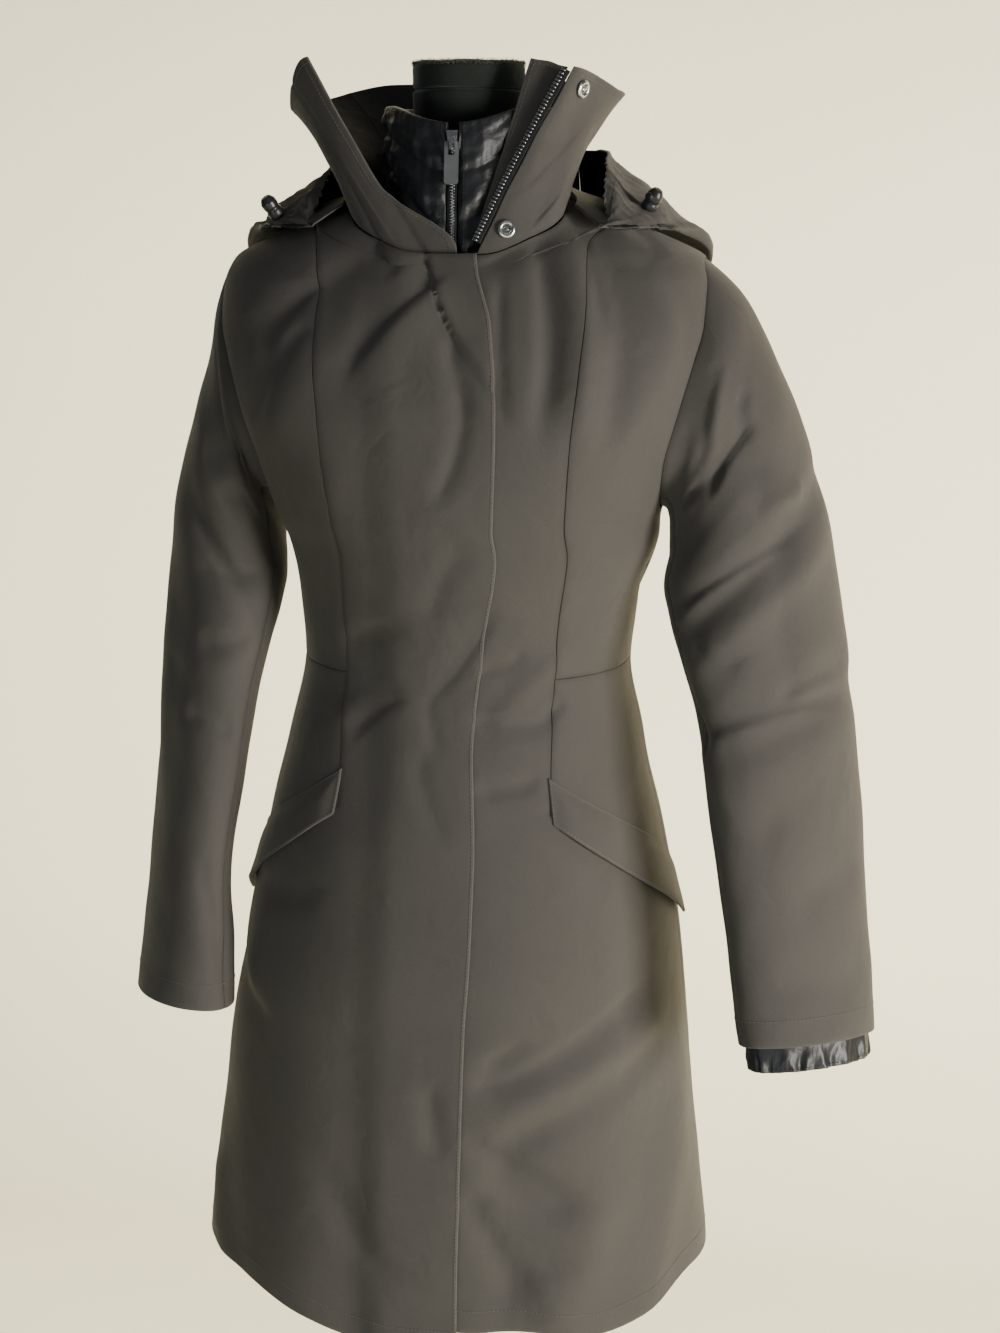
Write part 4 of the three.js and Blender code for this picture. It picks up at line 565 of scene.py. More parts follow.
def outward(point, u, v, steps, sign=1):
    """The outward direction of a surface, from its two parameters."""
    across = point(u + steps[0], v) - point(u - steps[0], v)
    along = point(u, v + steps[1]) - point(u, v - steps[1])
    return sign * unit(np.cross(across, along))


def bent_height(angle, z):
    """Height after the hem line and the neckline have bent the level rows."""
    hem = read(HEMLINE, "z", angle)
    neck = read(NECKLINE, "z", np.abs(angle))
    low = POCKET_OUTER - (POCKET_OUTER - z) * (POCKET_OUTER - hem) / (POCKET_OUTER - HEM)
    high = NECKLINE_FROM + (z - NECKLINE_FROM) * (neck - NECKLINE_FROM) / (NECK_BASE - NECKLINE_FROM)
    return np.where(z < POCKET_OUTER, low, np.where(z > NECKLINE_FROM, high, z))


def princess(z, side="front"):
    name = "princess" if side == "front" else "back"
    return np.where(z > SHOULDER_MEETS_PRINCESS + 1e-9, 90.0, angle_at(read(SEAMS, name, z), z, side))


def princess_back(z):
    return princess(z, "back")


def arm_edge(z, side="front"):
    inside = (z > UNDERARM) & (z < SHOULDER_TIP)
    return np.where(inside, angle_at(read(ARMHOLE, "edge", z), z, side), 90.0)


def fly_edge(z):
    return angle_at(read(FLY, "edge", z), z, "front")


def pocket_line(angle):
    inner = princess(POCKET_INNER)
    return mix(POCKET_INNER, POCKET_OUTER, np.clip((angle - inner) / (90 - inner), 0, 1))


def front_outer_edge(z):
    inner = princess(POCKET_INNER)
    slant = mix(inner, 90, (POCKET_INNER - z) / (POCKET_INNER - POCKET_OUTER))
    return np.where(z >= POCKET_INNER, princess(z), np.where(z <= POCKET_OUTER, 90.0, slant))


def fly_lift(angle, z):
    """The wearer's right front laps over the left one and stands one layer proud at its edge."""
    x = plain_coat(angle, z)[..., 0] - read(BODY, "middle", z)
    return (WALL + LAYER_GAP) * smooth((x - FLY_LAP["from"]) / FLY_LAP["width"])


def armhole_point(turn):
    """A ring of the armhole, by turn from its top towards the front."""
    middle = (SHOULDER_TIP + UNDERARM) / 2
    half = (SHOULDER_TIP - UNDERARM) / 2 - ARMHOLE_GAP
    z = middle + half * cosine(turn)
    x = read(ARMHOLE, "edge", z) + ARMHOLE_GAP
    front = sine(turn) > 0
    depth = np.where(front, -depth_at(x, z, "front"), depth_at(x, z, "back"))
    return np.stack([x, depth, z], -1)


def ring_point(row, turn, shrink=(0.0, 0.0)):
    """A point of one sleeve ring, whose row holds its place, tilt, half widths and turn."""
    up = np.array([cosine(row["tilt"]), 0, sine(row["tilt"])])
    forward = np.array([0, -cosine(row["lean"]), sine(row["lean"])])
    wide = up * cosine(row["turn"]) - forward * sine(row["turn"])
    deep = up * sine(row["turn"]) + forward * cosine(row["turn"])
    angle = turn + row["turn"]
    centre = np.stack(np.broadcast_arrays(row["x"], row["y"], row["z"]), -1)
    reach = ((row["wide"] - shrink[0]) * cosine(angle))[..., None] * wide
    return centre + reach + ((row["deep"] - shrink[1]) * sine(angle))[..., None] * deep


def sleeve_base(rows, turn, along):
    """A point of a smooth sleeve: turn round the ring, and place along the rings from the armhole."""
    turn, along = np.broadcast_arrays(turn, along)
    count = len(rows["x"])
    each = [{name: column[n] for name, column in rows.items()} for n in range(count)]
    rings = [armhole_point(turn)] + [ring_point(row, turn) for row in each]
    rings = np.stack([2 * rings[0] - rings[1]] + rings + [rings[-1]])
    k = np.clip(np.floor(along).astype(int), 0, count - 1)
    t = (along - k)[..., None]
    a, b, c, d = (np.take_along_axis(rings, (k + n)[None, ..., None], 0)[0] for n in range(4))
    total = a * (-(t**3) + 2 * t**2 - t) + b * (3 * t**3 - 5 * t**2 + 2)
    return 0.5 * (total + c * (-3 * t**3 + 4 * t**2 + t) + d * (t**3 - t**2))


def sleeve(rows, folds, creases, turn, along):
    """A point of the creased sleeve, whose head is tucked into the armhole."""
    point = sleeve_base(rows, turn, along)
    rise = 0.0
    for whole in (-360, 0, 360):
        for lines, depth in ((folds, 1.0), (creases, CREASE_DEPTH["sleeve"])):
            size = SLEEVE_METRES_PER_DEGREE, SLEEVE_METRES_PER_RING
            rise = rise + fold_rise(lines, turn + whole, along, *size, depth)
    across, round_it = SLEEVE_ROUND[0] * sine(turn), SLEEVE_ROUND[1] * cosine(turn)
    rise = rise + uneven("sleeve", across, along * SLEEVE_METRES_PER_RING + round_it)
    middle = sum(sleeve_base(rows, turn + quarter, along) for quarter in (0, 90, 180, 270)) / 4
    head = np.clip(1 - along / SLEEVE_TUCK["over"], 0, 1) ** 2
    point = point - np.array([SLEEVE_TUCK["aside"], 0, 0]) * (head + 0 * turn)[..., None]
    return point + unit(point - middle) * (rise * smooth(along - SLEEVE_FOLDS_FROM))[..., None]


def collar(angle, share, creased=True):
    """A point of the collar: angle round the neck, and share of its height from the neck seam."""
    turn = np.where(angle > 180, angle - 360, angle)
    share = share + 0.0 * turn
    base = coat(turn, read(NECKLINE, "z", np.abs(turn)))
    base[..., 2] += NECK_GAP
    top = np.stack([read(COLLAR_TOP, name, turn) for name in "xyz"], -1)
    level = (top - base) * LEVEL
    bow = read(COLLAR_TOP, "bow", turn) * np.sin(np.pi * share)
    point = base + (top - base) * share[..., None] - unit(level) * bow[..., None]
    if creased:
        crease = fold_rise(COLLAR_CREASES, turn, share, COLLAR_METRES_PER_DEGREE, COLLAR_TALL)
        crease = crease + uneven("collar", turn * COLLAR_METRES_PER_DEGREE, share * COLLAR_TALL)
        point = point + unit(level) * (crease * smooth(share / 0.06))[..., None]
    return point


def facing_point(across, share):
    """The storm flap behind the open zip, from the zip's edge towards the neck."""
    edge = collar(COLLAR_SPLITS["front"] + 1.5 + 0 * share, share * 0.985 + 0.01, False)
    inner = mix(np.array(FACING["bottom"]), np.array(FACING["top"]), share[..., None])
    point = mix(edge, inner, across[..., None])
    point[..., 0] -= FACING["inwards"] * (1 - across)
    point[..., 1] += mix(FACING["edge_behind"], FACING["behind"], across)
    point[..., 2] += FACING["up"]
    return point


def zip_point(across, share):
    """A point of the main zip's tape, along the wearer's left front edge."""
    angle = COLLAR_SPLITS["front"] + 0 * share
    along = unit(collar(angle, share + 0.02, False) - collar(angle, share - 0.02, False))
    out = outward(lambda u, v: collar(u, v, False), angle, share, COLLAR_STEPS)
    aside = unit(np.cross(along, out))
    point = collar(angle, share, False) + aside * (across - ZIP_TAPE["aside"])[..., None]
    return point - out * ZIP_TAPE["sunk"]


def hood(angle, share, creased=True):
    """A point of the hood: angle round the neck, and place from neck seam through the fold to the rim."""
    side = np.where(angle > 180, -1.0, np.sign(angle))
    turn = np.where(angle > 180, 360 - angle, np.abs(angle))
    share = share + 0.0 * turn
    neck = read(NECKLINE, "z", turn)
    fold = read(HOOD, "fold_z", turn)

    def under(t):
        z = mix(neck - HOOD_CURVE["foot"], fold, t)
        return plain_coat(turn, z) + outward(plain_coat, turn, z, COAT_STEPS) * (HOOD_LIFT + HOOD_WALL)

    fold_at = HOOD_CURVE["fold_share"]
    start, before = under(1.0), under(0.96)
    out = outward(plain_coat, turn, fold, COAT_STEPS)
    bulge = read(HOOD, "bulge", turn)[..., None]
    rim = np.stack([read(HOOD, name, turn) for name in "xyz"], -1)
    first = start + unit(start - before) * bulge * HOOD_CURVE["leave"] + out * bulge * HOOD_CURVE["out"]
    second = rim + unit(out * LEVEL) * bulge * HOOD_CURVE["rim_out"]
    second[..., 2] -= (rim[..., 2] - fold) * HOOD_CURVE["rim_drop"]
    t = np.clip((share - fold_at) / (1 - fold_at), 0, 1)[..., None]
    over = start * (1 - t) ** 3 + first * 3 * t * (1 - t) ** 2 + second * 3 * t**2 * (1 - t) + rim * t**3
    point = np.where((share <= fold_at)[..., None], under(np.minimum(share / fold_at, 1.0)), over)
    if creased:
        free = smooth((share - 0.3) / 0.2) * HOOD_CRUMPLE["rise"]
        near_front = 1 + HOOD_CRUMPLE["at_front"] * smooth((112 - turn) / 30)
        behind_rim = smooth((turn - HOOD_FRONT["from"]) / HOOD_FRONT["over"])
        x, y = turn * HOOD_CLOTH["per_degree"], share * HOOD_CLOTH["length"]
        crumple = ripple(x, y, HOOD_CRUMPLE["size"], 11)
        crumple = crumple + 0.6 * np.abs(ripple(x, y, HOOD_CRUMPLE["fine"], 12))
        gathers = HOOD_CRUMPLE["gathers"] * np.sin(turn * 1.9 + 2.2 * np.sin(share * 9))
        gathers = gathers * smooth((104 - turn) / 22) * behind_rim
        crumple = crumple * (0.3 + 0.7 * behind_rim)
        lifted = free * near_front * crumple + gathers * smooth((share - 0.45) / 0.2)
        point = point + HOOD_CLOTH["lifted"] * (unit(point * LEVEL) + UP) * lifted[..., None]
    point[..., 0] *= side
    return point


def liner_front(z):
    height = LINER["top_z"] - LINER["front_z"]
    return mix(LINER["front"], LINER["top_front"], smooth((z - LINER["front_z"]) / height))


def liner_place(angle, share, channels=True):
    """A point of the liner's collar: angle round the neck, and share of its height."""
    turn = np.where(angle > 180, 360 - angle, np.abs(angle))
    bottom = read(LINER_BOTTOM, "z", turn)
    top = mix(LINER["top_z"], LINER["side_top_z"], smooth(turn / 60))
    z = mix(bottom, top, share)
    depth = np.where(cosine(angle) > 0, liner_front(z), LINER["back"])
    radius = 1 / np.hypot(sine(angle) / LINER["side"], cosine(angle) / depth)
    if channels:
        radius = radius + LINER_CHANNEL["rise"] * np.abs(np.sin(np.pi * LINER_CHANNEL["count"] * share))
    return np.stack([radius * sine(angle), -radius * cosine(angle), z], -1)


def liner_cuff_point(turn, along):
    """A point of the liner's cuff: turn round it, and share of the way between the sleeve's last rings."""
    last = {name: column[-1] for name, column in LEFT_SLEEVE.items()}
    above = {name: column[-2] for name, column in LEFT_SLEEVE.items()}
    row = dict(last)
    for name in "xyz":
        row[name] = mix(above[name], last[name], along)
    free = smooth((along - 0.9) / 0.4)
    crinkle = fold_rise(CUFF_CRINKLES, turn, along, 0.001, 0.046) * free
    crinkle = crinkle + uneven("cuff", turn * 0.001, along * 0.03) * free
    shrink = LINER_CUFF["inset"] - crinkle
    wide = LINER_CUFF["taper_wide"] * along + shrink
    deep = LINER_CUFF["taper_deep"] * along + shrink
    return ring_point(row, turn, (wide, deep))


def form_point(angle, z):
    """The dress form follows the coat's rings without folds, and carries it at the shoulders."""
    turn = np.abs(np.where(angle > 180, 360 - angle, angle))

    front = smooth((z - FORM_FRONT["from_z"]) / FORM_FRONT["heights"])
    front = front * smooth((FORM_FRONT["to_angle"] - turn) / FORM_FRONT["angles"])
    room = mix(WALL + FORM_CLEARANCE, FORM_NECK_ROOM, front)
    from_top = smooth((z - FORM_SEAT["from_z"]) / FORM_SEAT["heights"])
    seat = from_top * smooth((FORM_SEAT["to_angle"] - np.abs(turn - 90)) / FORM_SEAT["angles"])
    inset = mix(room, WALL + SHOULDER_SEAT, seat)
    return plain_coat(angle, z) - outward(plain_coat, angle, z, COAT_STEPS) * inset[..., None]


# Mesh code


def run(points, axis):
    """Distance along a grid of points from its first row or column."""
    steps = np.linalg.norm(np.diff(points, axis=axis), axis=-1)
    first = np.zeros_like(np.take(steps, [0], axis))
    return np.concatenate([first, np.cumsum(steps, axis)], axis)


def stations(length, step):
    """Shares of a length, close together at both ends, where the edges are rounded."""
    count = max(3, round(length / step))
    inner = np.linspace(EDGE[-1], length - EDGE[-1], count)
    return np.concatenate([EDGE, inner[1:-1], length - EDGE[::-1]]) / length


def quads(grid):
    corners = grid[:-1, :-1], grid[:-1, 1:], grid[1:, 1:], grid[1:, :-1]
    return np.stack(corners, -1).reshape(-1, 4)


def dress_mesh(mesh, flat):
    """Smooth faces, and the cloth's own flat lengths as its map."""
    mesh.polygons.foreach_set("use_smooth", np.ones(len(mesh.polygons), bool))
    loops = np.empty(len(mesh.loops), np.int32)
    mesh.loops.foreach_get("vertex_index", loops)
    layer = mesh.uv_layers.new(name="cloth")
    layer.uv.foreach_set("vector", flat[loops].astype(np.float32).ravel())


def new_mesh(name, points, faces, cloth=None, masks=None, under=0):
    """A smooth mesh whose faces point out; the last `under` faces get the second material."""
    corner = points[faces]
    volume = np.einsum("ij,ij->", corner[:, 0], np.cross(corner[:, 1], corner[:, 2]))
    if faces.shape[1] == 4:
        volume += np.einsum("ij,ij->", corner[:, 0], np.cross(corner[:, 2], corner[:, 3]))
    if volume < 0:
        faces = faces[:, ::-1]
    mesh = bpy.data.meshes.new(name)
    mesh.from_pydata(points.tolist(), [], faces.tolist())
    if under:
        index = np.zeros(len(faces), np.int32)
        index[-under:] = 1
        mesh.polygons.foreach_set("material_index", index)
    dress_mesh(mesh, points[:, [0, 2]] if cloth is None else cloth)
    for word, values in (masks or {}).items():
        attribute = mesh.attributes.new(word, "FLOAT", "POINT")
        attribute.data.foreach_set("value", values.astype(np.float32))
    mesh.update()
    return mesh


def place(name, mesh, finishes, nodes=()):
    piece = bpy.data.objects.new(name, mesh)
    bpy.context.scene.collection.objects.link(piece)
    for finish_name in finishes:
        mesh.materials.append(material(finish_name))
    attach(piece, ROOT)
    if nodes:
        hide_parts(*nodes)
    return piece


def shell(node, point, u, v, finishes=BODY_CLOTH, slot="shell", steps=COAT_STEPS, sign=1, lift=0.0,
          thick=None, sewn="", relief=0.0, held="draped", rests_on="form_torso", pad=None):
    """A closed cloth wall on a surface, its edges rounded and its sewn edges sunk, that replaces a node."""
    u, v = np.broadcast_arrays(u, v)
    thick = thick or bpy.context.scene.parka_cloth.thickness
    here = point(u, v)
    out = outward(point, u, v, steps, sign)
    across, along = run(here, 1), run(here, 0)
    edges = {"left": across, "right": across[:, -1:] - across, "low": along, "high": along[-1:] - along}
    sewn = sewn.split()
    sharper = [far * (SEWN_SHARPER if edge in sewn else 1) for edge, far in edges.items()]
    nearest = np.minimum.reduce(sharper)
    radius = min(EDGE_ROUND["of_thickness"] * thick, EDGE_ROUND["most"])
    inside = np.clip(nearest / radius, 0, 1)
    rounding = radius * (1 - np.sqrt(1 - (1 - inside) ** 2))
    seam = np.zeros_like(nearest)
    for edge in sewn:
        seam = np.maximum(seam, np.exp(-((edges[edge] / SEAM_SINK["over"]) ** 2)))
    rise = lift + relief - SEAM_SINK["depth"] * seam
    outer = here + out * (rise - rounding)[..., None]
    inner = here + out * (rise - thick + rounding)[..., None]
    if pad is not None:
        inner = here + out * (rounding - thick - pad)[..., None]
    n = nearest.size
    grid = np.arange(n).reshape(nearest.shape)
    ring = np.concatenate([grid[0, :-1], grid[:-1, -1], grid[-1, :0:-1], grid[:0:-1, 0]])
    after = np.roll(ring, -1)
    under = quads(grid + n)[:, ::-1]
    rim = np.stack([after, ring, ring + n, after + n], -1)
    faces = np.concatenate([quads(grid), rim, under])
    points = np.concatenate([outer.reshape(-1, 3), inner.reshape(-1, 3)])
    flat = np.tile(np.stack([across, along], -1).reshape(-1, 2), (2, 1))
    # The seam mask also paints shade into the cloth's colour along its sewn edges.
    worn = np.exp(-((nearest / EDGE_ROUND["worn_over"]) ** 2)) * (1 - seam)
    masks = {"edge": np.tile(worn.ravel(), 2), "seam": np.tile(seam.ravel(), 2)}
    mesh = new_mesh(node + "_cloth", points, faces, flat, masks, len(under) if len(finishes) > 1 else 0)
    piece = place(node + "_cloth", mesh, finishes, [node])
    return {"piece": piece, "points": outer, "out": out, "edges": edges}


def beside(sheet, edge, distance, part=(0.0, 1.0)):
    """Points and outward directions along a shell at a distance from one of its edges."""
    points, out, far = sheet["points"], sheet["out"], sheet["edges"][edge]
    if edge in ("low", "high"):
        points, out, far = np.swapaxes(points, 0, 1), np.swapaxes(out, 0, 1), far.T
    if edge in ("right", "high"):
        points, out, far = points[:, ::-1], out[:, ::-1], far[:, ::-1]
    count = far.shape[1]
    at = np.array([np.interp(distance, row, np.arange(count)) for row in far])
    i = np.clip(at.astype(int), 0, count - 2)
    t = (at - i)[:, None]
    each = np.arange(len(far))
    line = mix(points[each, i], points[each, i + 1], t)
    way = unit(mix(out[each, i], out[each, i + 1], t))
    first, last = int(part[0] * (len(line) - 1)), int(part[1] * (len(line) - 1)) + 1
    return line[first:last], way[first:last]


def spaced(line, out, pitch):
    """Evenly spaced places on a line, with the directions along it and out of the cloth."""
    length = run(line[None], 1)[0]
    count = max(2, int(length[-1] / pitch))
    at = (np.arange(count) + 0.5) * length[-1] / count

    def between(values, ahead=0.0):
        return np.stack([np.interp(at + ahead, length, values[:, k]) for k in range(3)], -1)

    along = unit(between(line, 0.0005) - between(line, -0.0005))
    side = unit(np.cross(along, unit(between(out))))
    return between(line), side, along, np.cross(side, along)


def copies(shape, places, side, along, out, size):
    """One joined set of points and faces: a small shape at many places, each turned with the cloth."""
    points, faces = shape
    scaled = points * np.array(size)
    whole = (places[:, None] + scaled[None, :, :1] * side[:, None] + scaled[None, :, 1:2] * along[:, None]
             + scaled[None, :, 2:] * out[:, None])
    shifted = faces[None] + (np.arange(len(places)) * len(points))[:, None, None]
    return whole.reshape(-1, 3), shifted.reshape(-1, faces.shape[1])


def add_shape(name, parts, finish_name, nodes=()):
    """One piece made of small shapes, each given as points and faces."""
    faces, count = [], 0
    for part_points, part_faces in parts:
        faces.append(part_faces + count)
        count += len(part_points)
    mesh = new_mesh(name, np.concatenate([points for points, _ in parts]), np.concatenate(faces))
    return place(name, mesh, [finish_name], nodes)


def stitch_shape():
    """A stitch: a short thread that dips into the cloth at both ends."""
    sides = 5
    rings = [(-0.5, 0.25, -0.4), (-0.3, 0.9, 0.2), (0.0, 1.0, 0.45), (0.3, 0.9, 0.2), (0.5, 0.25, -0.4)]
    points, faces = [], []
    for y, radius, height in rings:
        for k in range(sides):
            turn = 2 * math.pi * k / sides
            points.append((0.5 * radius * math.cos(turn), y, height + 0.5 * radius * math.sin(turn)))
    for ring in range(len(rings) - 1):
        for k in range(sides):
            a, b = ring * sides + k, ring * sides + (k + 1) % sides
            faces.append((a, b, b + sides, a + sides))
    return np.array(points), np.array(faces)


def tooth_shape(bevel=0.28):
    """A zip tooth: a small block with rounded edges, one unit on each side."""
    block = bmesh.new()
    bmesh.ops.create_cube(block, size=1.0)
    bmesh.ops.bevel(block, geom=block.edges[:], offset=bevel, segments=2, affect="EDGES", profile=0.6)
    bmesh.ops.triangulate(block, faces=block.faces[:])
    points = np.array([v.co[:] for v in block.verts])
    faces = np.array([[v.index for v in f.verts] for f in block.faces])
    block.free()
    return points, faces


def lathe(corners, radius, segments, place_at=(0.0, 0.0, 0.0), out=UP):
    """Points and faces of a turned shape on an axis, from corners of radius and height that it rounds."""
    profile = rounded(corners, radius) if radius else corners
    axis = unit(np.array(out, float))
    helper = UP if abs(axis[2]) < 0.9 else np.array([1.0, 0.0, 0.0])
    x = unit(np.cross(helper, axis))
    y = np.cross(axis, x)
    turn = np.linspace(0, 2 * np.pi, segments, endpoint=False)
    ring = np.cos(turn)[:, None] * x + np.sin(turn)[:, None] * y
    points = np.concatenate([np.array(place_at) + reach * ring + height * axis for reach, height in profile])
    grid = np.arange(len(points)).reshape(len(profile), segments)
    return points, quads(np.concatenate([grid, grid[:, :1]], 1))


def rounded(corners, radius, steps=5):
    """A profile's corners rounded: rows of radius and height."""
    rows = [corners[0]]
    for before, here, after in zip(corners, corners[1:], corners[2:]):
        a, b, c = (np.array(p, float) for p in (before, here, after))
        cut_in = min(radius, 0.45 * np.linalg.norm(b - a))
        cut_out = min(radius, 0.45 * np.linalg.norm(c - b))
        start, end = b + unit(a - b) * cut_in, b + unit(c - b) * cut_out
        for t in np.linspace(0, 1, steps):
            rows.append(tuple(start * (1 - t) ** 2 + b * 2 * t * (1 - t) + end * t**2))
    return rows + [corners[-1]]


# Surface finishes


def shader(tree, kind, settings=None, **inputs):
    """Adds a node, sets its own values and links or sets its sockets by name or number."""
    node = tree.nodes.new(kind)
    for name, value in (settings or {}).items():
        setattr(node, name, value)
    for name, value in inputs.items():
        socket = node.inputs[int(name[1:]) if name[0] == "_" else name.replace("_", " ")]
        if isinstance(value, bpy.types.NodeSocket):
            tree.links.new(value, socket)
        else:
            socket.default_value = value
    return node


def node_group(name, inputs, outputs, build):
    """A node group, made once: build() gives the values that its outputs carry."""
    if name in bpy.data.node_groups:
        return bpy.data.node_groups[name]
    group = bpy.data.node_groups.new(name, "ShaderNodeTree")
    for socket, value in inputs.items():
        made = group.interface.new_socket(socket, in_out="INPUT", socket_type="NodeSocketFloat")
        made.default_value = value
    for socket in outputs:
        group.interface.new_socket(socket, in_out="OUTPUT", socket_type="NodeSocketFloat")
    given = group.nodes.new("NodeGroupInput")
    result = group.nodes.new("NodeGroupOutput")
    for value, socket in zip(build(group, given.outputs), result.inputs):
        group.links.new(value, socket)
    return group


def add_group(tree, group, **inputs):
    node = tree.nodes.new("ShaderNodeGroup")
    node.node_tree = group
    for name, value in inputs.items():
        node.inputs[name.replace("_", " ")].default_value = value
    return node.outputs


def math_node(tree, operation, first, second=0.0):
    return shader(tree, "ShaderNodeMath", {"operation": operation}, _0=first, _1=second).outputs[0]


def times(tree, first, second):
    return math_node(tree, "MULTIPLY", first, second)


def noise(tree, at, size, detail):
    return shader(tree, "ShaderNodeTexNoise", Vector=at, Scale=size, Detail=detail).outputs


def weave_group():
    """Height of a plain weave, from the cloth's own flat lengths."""
    def build(group, given):
        uv = shader(group, "ShaderNodeUVMap", {"uv_map": "cloth"}).outputs[0]
        parts = shader(group, "ShaderNodeSeparateXYZ", Vector=uv).outputs
        waves = math_node(group, "DIVIDE", math.pi, given[0])
        x = math_node(group, "SINE", times(group, parts[0], waves))
        y = math_node(group, "SINE", times(group, parts[1], waves))
        return [times(group, math_node(group, "ADD", times(group, x, y), 1.0), 0.5)]

    return node_group("Plain weave", {"Thread": 0.0005}, ["Height"], build)


def crumple_group():
    """Height of fine creases that run unevenly through handled cloth."""
    def build(group, given):
        at = shader(group, "ShaderNodeTexCoord").outputs["Object"]
        warp = noise(group, at, 9.0, 2.0)[1]
        shift = shader(group, "ShaderNodeVectorMath", {"operation": "SCALE"}, _0=warp, Scale=0.07).outputs[0]
        moved = shader(group, "ShaderNodeVectorMath", {"operation": "ADD"}, _0=at, _1=shift).outputs[0]
        middle = math_node(group, "SUBTRACT", noise(group, moved, given[0], 4.0)[0], 0.5)
        ridge = math_node(group, "ABSOLUTE", middle)
        return [math_node(group, "POWER", times(group, ridge, 2.0), given[1])]

    return node_group("Handled creases", {"Size": 30.0, "Sharpness": 0.5}, ["Height"], build)


def wear_and_shade_group():
    """Masks of broad mottling, flecks and worn edges, and of painted shade at the seams."""
    def build(group, given):
        at = shader(group, "ShaderNodeTexCoord").outputs["Object"]
        broad = noise(group, at, given[0], 3.0)[0]
        fine = noise(group, at, given[1], 1.0)[0]
        worn = shader(group, "ShaderNodeAttribute", {"attribute_name": "edge"}).outputs["Fac"]
        seam = shader(group, "ShaderNodeAttribute", {"attribute_name": "seam"}).outputs["Fac"]
        mottle = shader(group, "ShaderNodeMapRange", Value=broad, _1=0.3, _2=0.7).outputs[0]
        fleck = shader(group, "ShaderNodeMapRange", Value=fine, _1=0.35, _2=0.65).outputs[0]
        return [mottle, fleck, times(group, worn, noise(group, at, 120.0, 2.0)[0]), seam]

    masks = ["Mottle", "Fleck", "Worn edge", "Seam shade"]
    return node_group("Cloth wear", {"Patch size": 7.0, "Fleck size": 900.0}, masks, build)


def finish(name, build, **constant):
    """A named material, made once: build() gives the values that change over it, the rest are set."""
    if name in bpy.data.materials:
        return bpy.data.materials[name]
    made = bpy.data.materials.new(name)
    made.use_nodes = True
    tree = made.node_tree
    tree.nodes.clear()
    surface = shader(tree, "ShaderNodeBsdfPrincipled", **constant)
    shader(tree, "ShaderNodeOutputMaterial", Surface=surface.outputs[0])
    for socket, value in build(tree).items():
        tree.links.new(value, surface.inputs[socket])
    return made


def scaled(colour, amount):
    return (colour[0] * amount, colour[1] * amount, colour[2] * amount, 1.0)


def mixed(tree, factor, first, second):
    return shader(tree, "ShaderNodeMix", {"data_type": "RGBA"}, _0=factor, _6=first, _7=second).outputs[2]


def mottled(tree, wear, colour, contrast):
    return mixed(tree, wear[0], scaled(colour, 1 - contrast), scaled(colour, 1 + contrast))


def polish(tree, wear, rough):
    return shader(tree, "ShaderNodeMapRange", Value=wear[0], _3=rough[0], _4=rough[1]).outputs[0]


def bump(tree, height, distance, **inputs):
    return shader(tree, "ShaderNodeBump", Height=height, Distance=distance, **inputs).outputs[0]


def cloth_finish(name, colour, strength=1.0, contrast=0.2, thread=0.0005, weave=0.00006, crease=0.0005,
                 crease_size=22.0, sharpness=0.8, rough=(0.7, 0.85), edge=0.35, seam=0.3, flecks=0.08,
                 **constant):
    """Woven cloth: mottled colour, worn edges, shaded seams, weave and fine creases."""
    colour = scaled(colour, strength)

    def build(tree):
        wear = add_group(tree, wear_and_shade_group())
        weave_height = add_group(tree, weave_group(), Thread=thread)[0]
        creases = add_group(tree, crumple_group(), Size=crease_size, Sharpness=sharpness)[0]
        tone = mottled(tree, wear, colour, contrast)
        # The seam shade mask paints shade into the colour, darkening it to 0.35 towards the sunk seams.
        for mask, share, shade in ((wear[1], flecks, 2.2), (wear[2], edge, 2.6), (wear[3], seam, 0.35)):
            tone = mixed(tree, times(tree, mask, share), tone, scaled(colour, shade))
        large = bump(tree, creases, crease, Strength=1.0)
        small = bump(tree, weave_height, weave, Strength=1.0, Normal=large)
        return {"Base Color": tone, "Roughness": polish(tree, wear, rough), "Normal": small}

    return finish(name, build, **constant)


def hard_finish(name, colour, rough=(0.25, 0.4), grain=0.00003, grain_size=700.0, contrast=0.12, **constant):
    """Metal or plastic: a little uneven in colour and polish, with fine grain."""
    def build(tree):
        wear = add_group(tree, wear_and_shade_group(), Patch_size=60.0, Fleck_size=grain_size)
        return {"Base Color": mottled(tree, wear, colour, contrast), "Roughness": polish(tree, wear, rough),
                "Normal": bump(tree, wear[1], grain, Strength=1.0)}

    return finish(name, build, **constant)


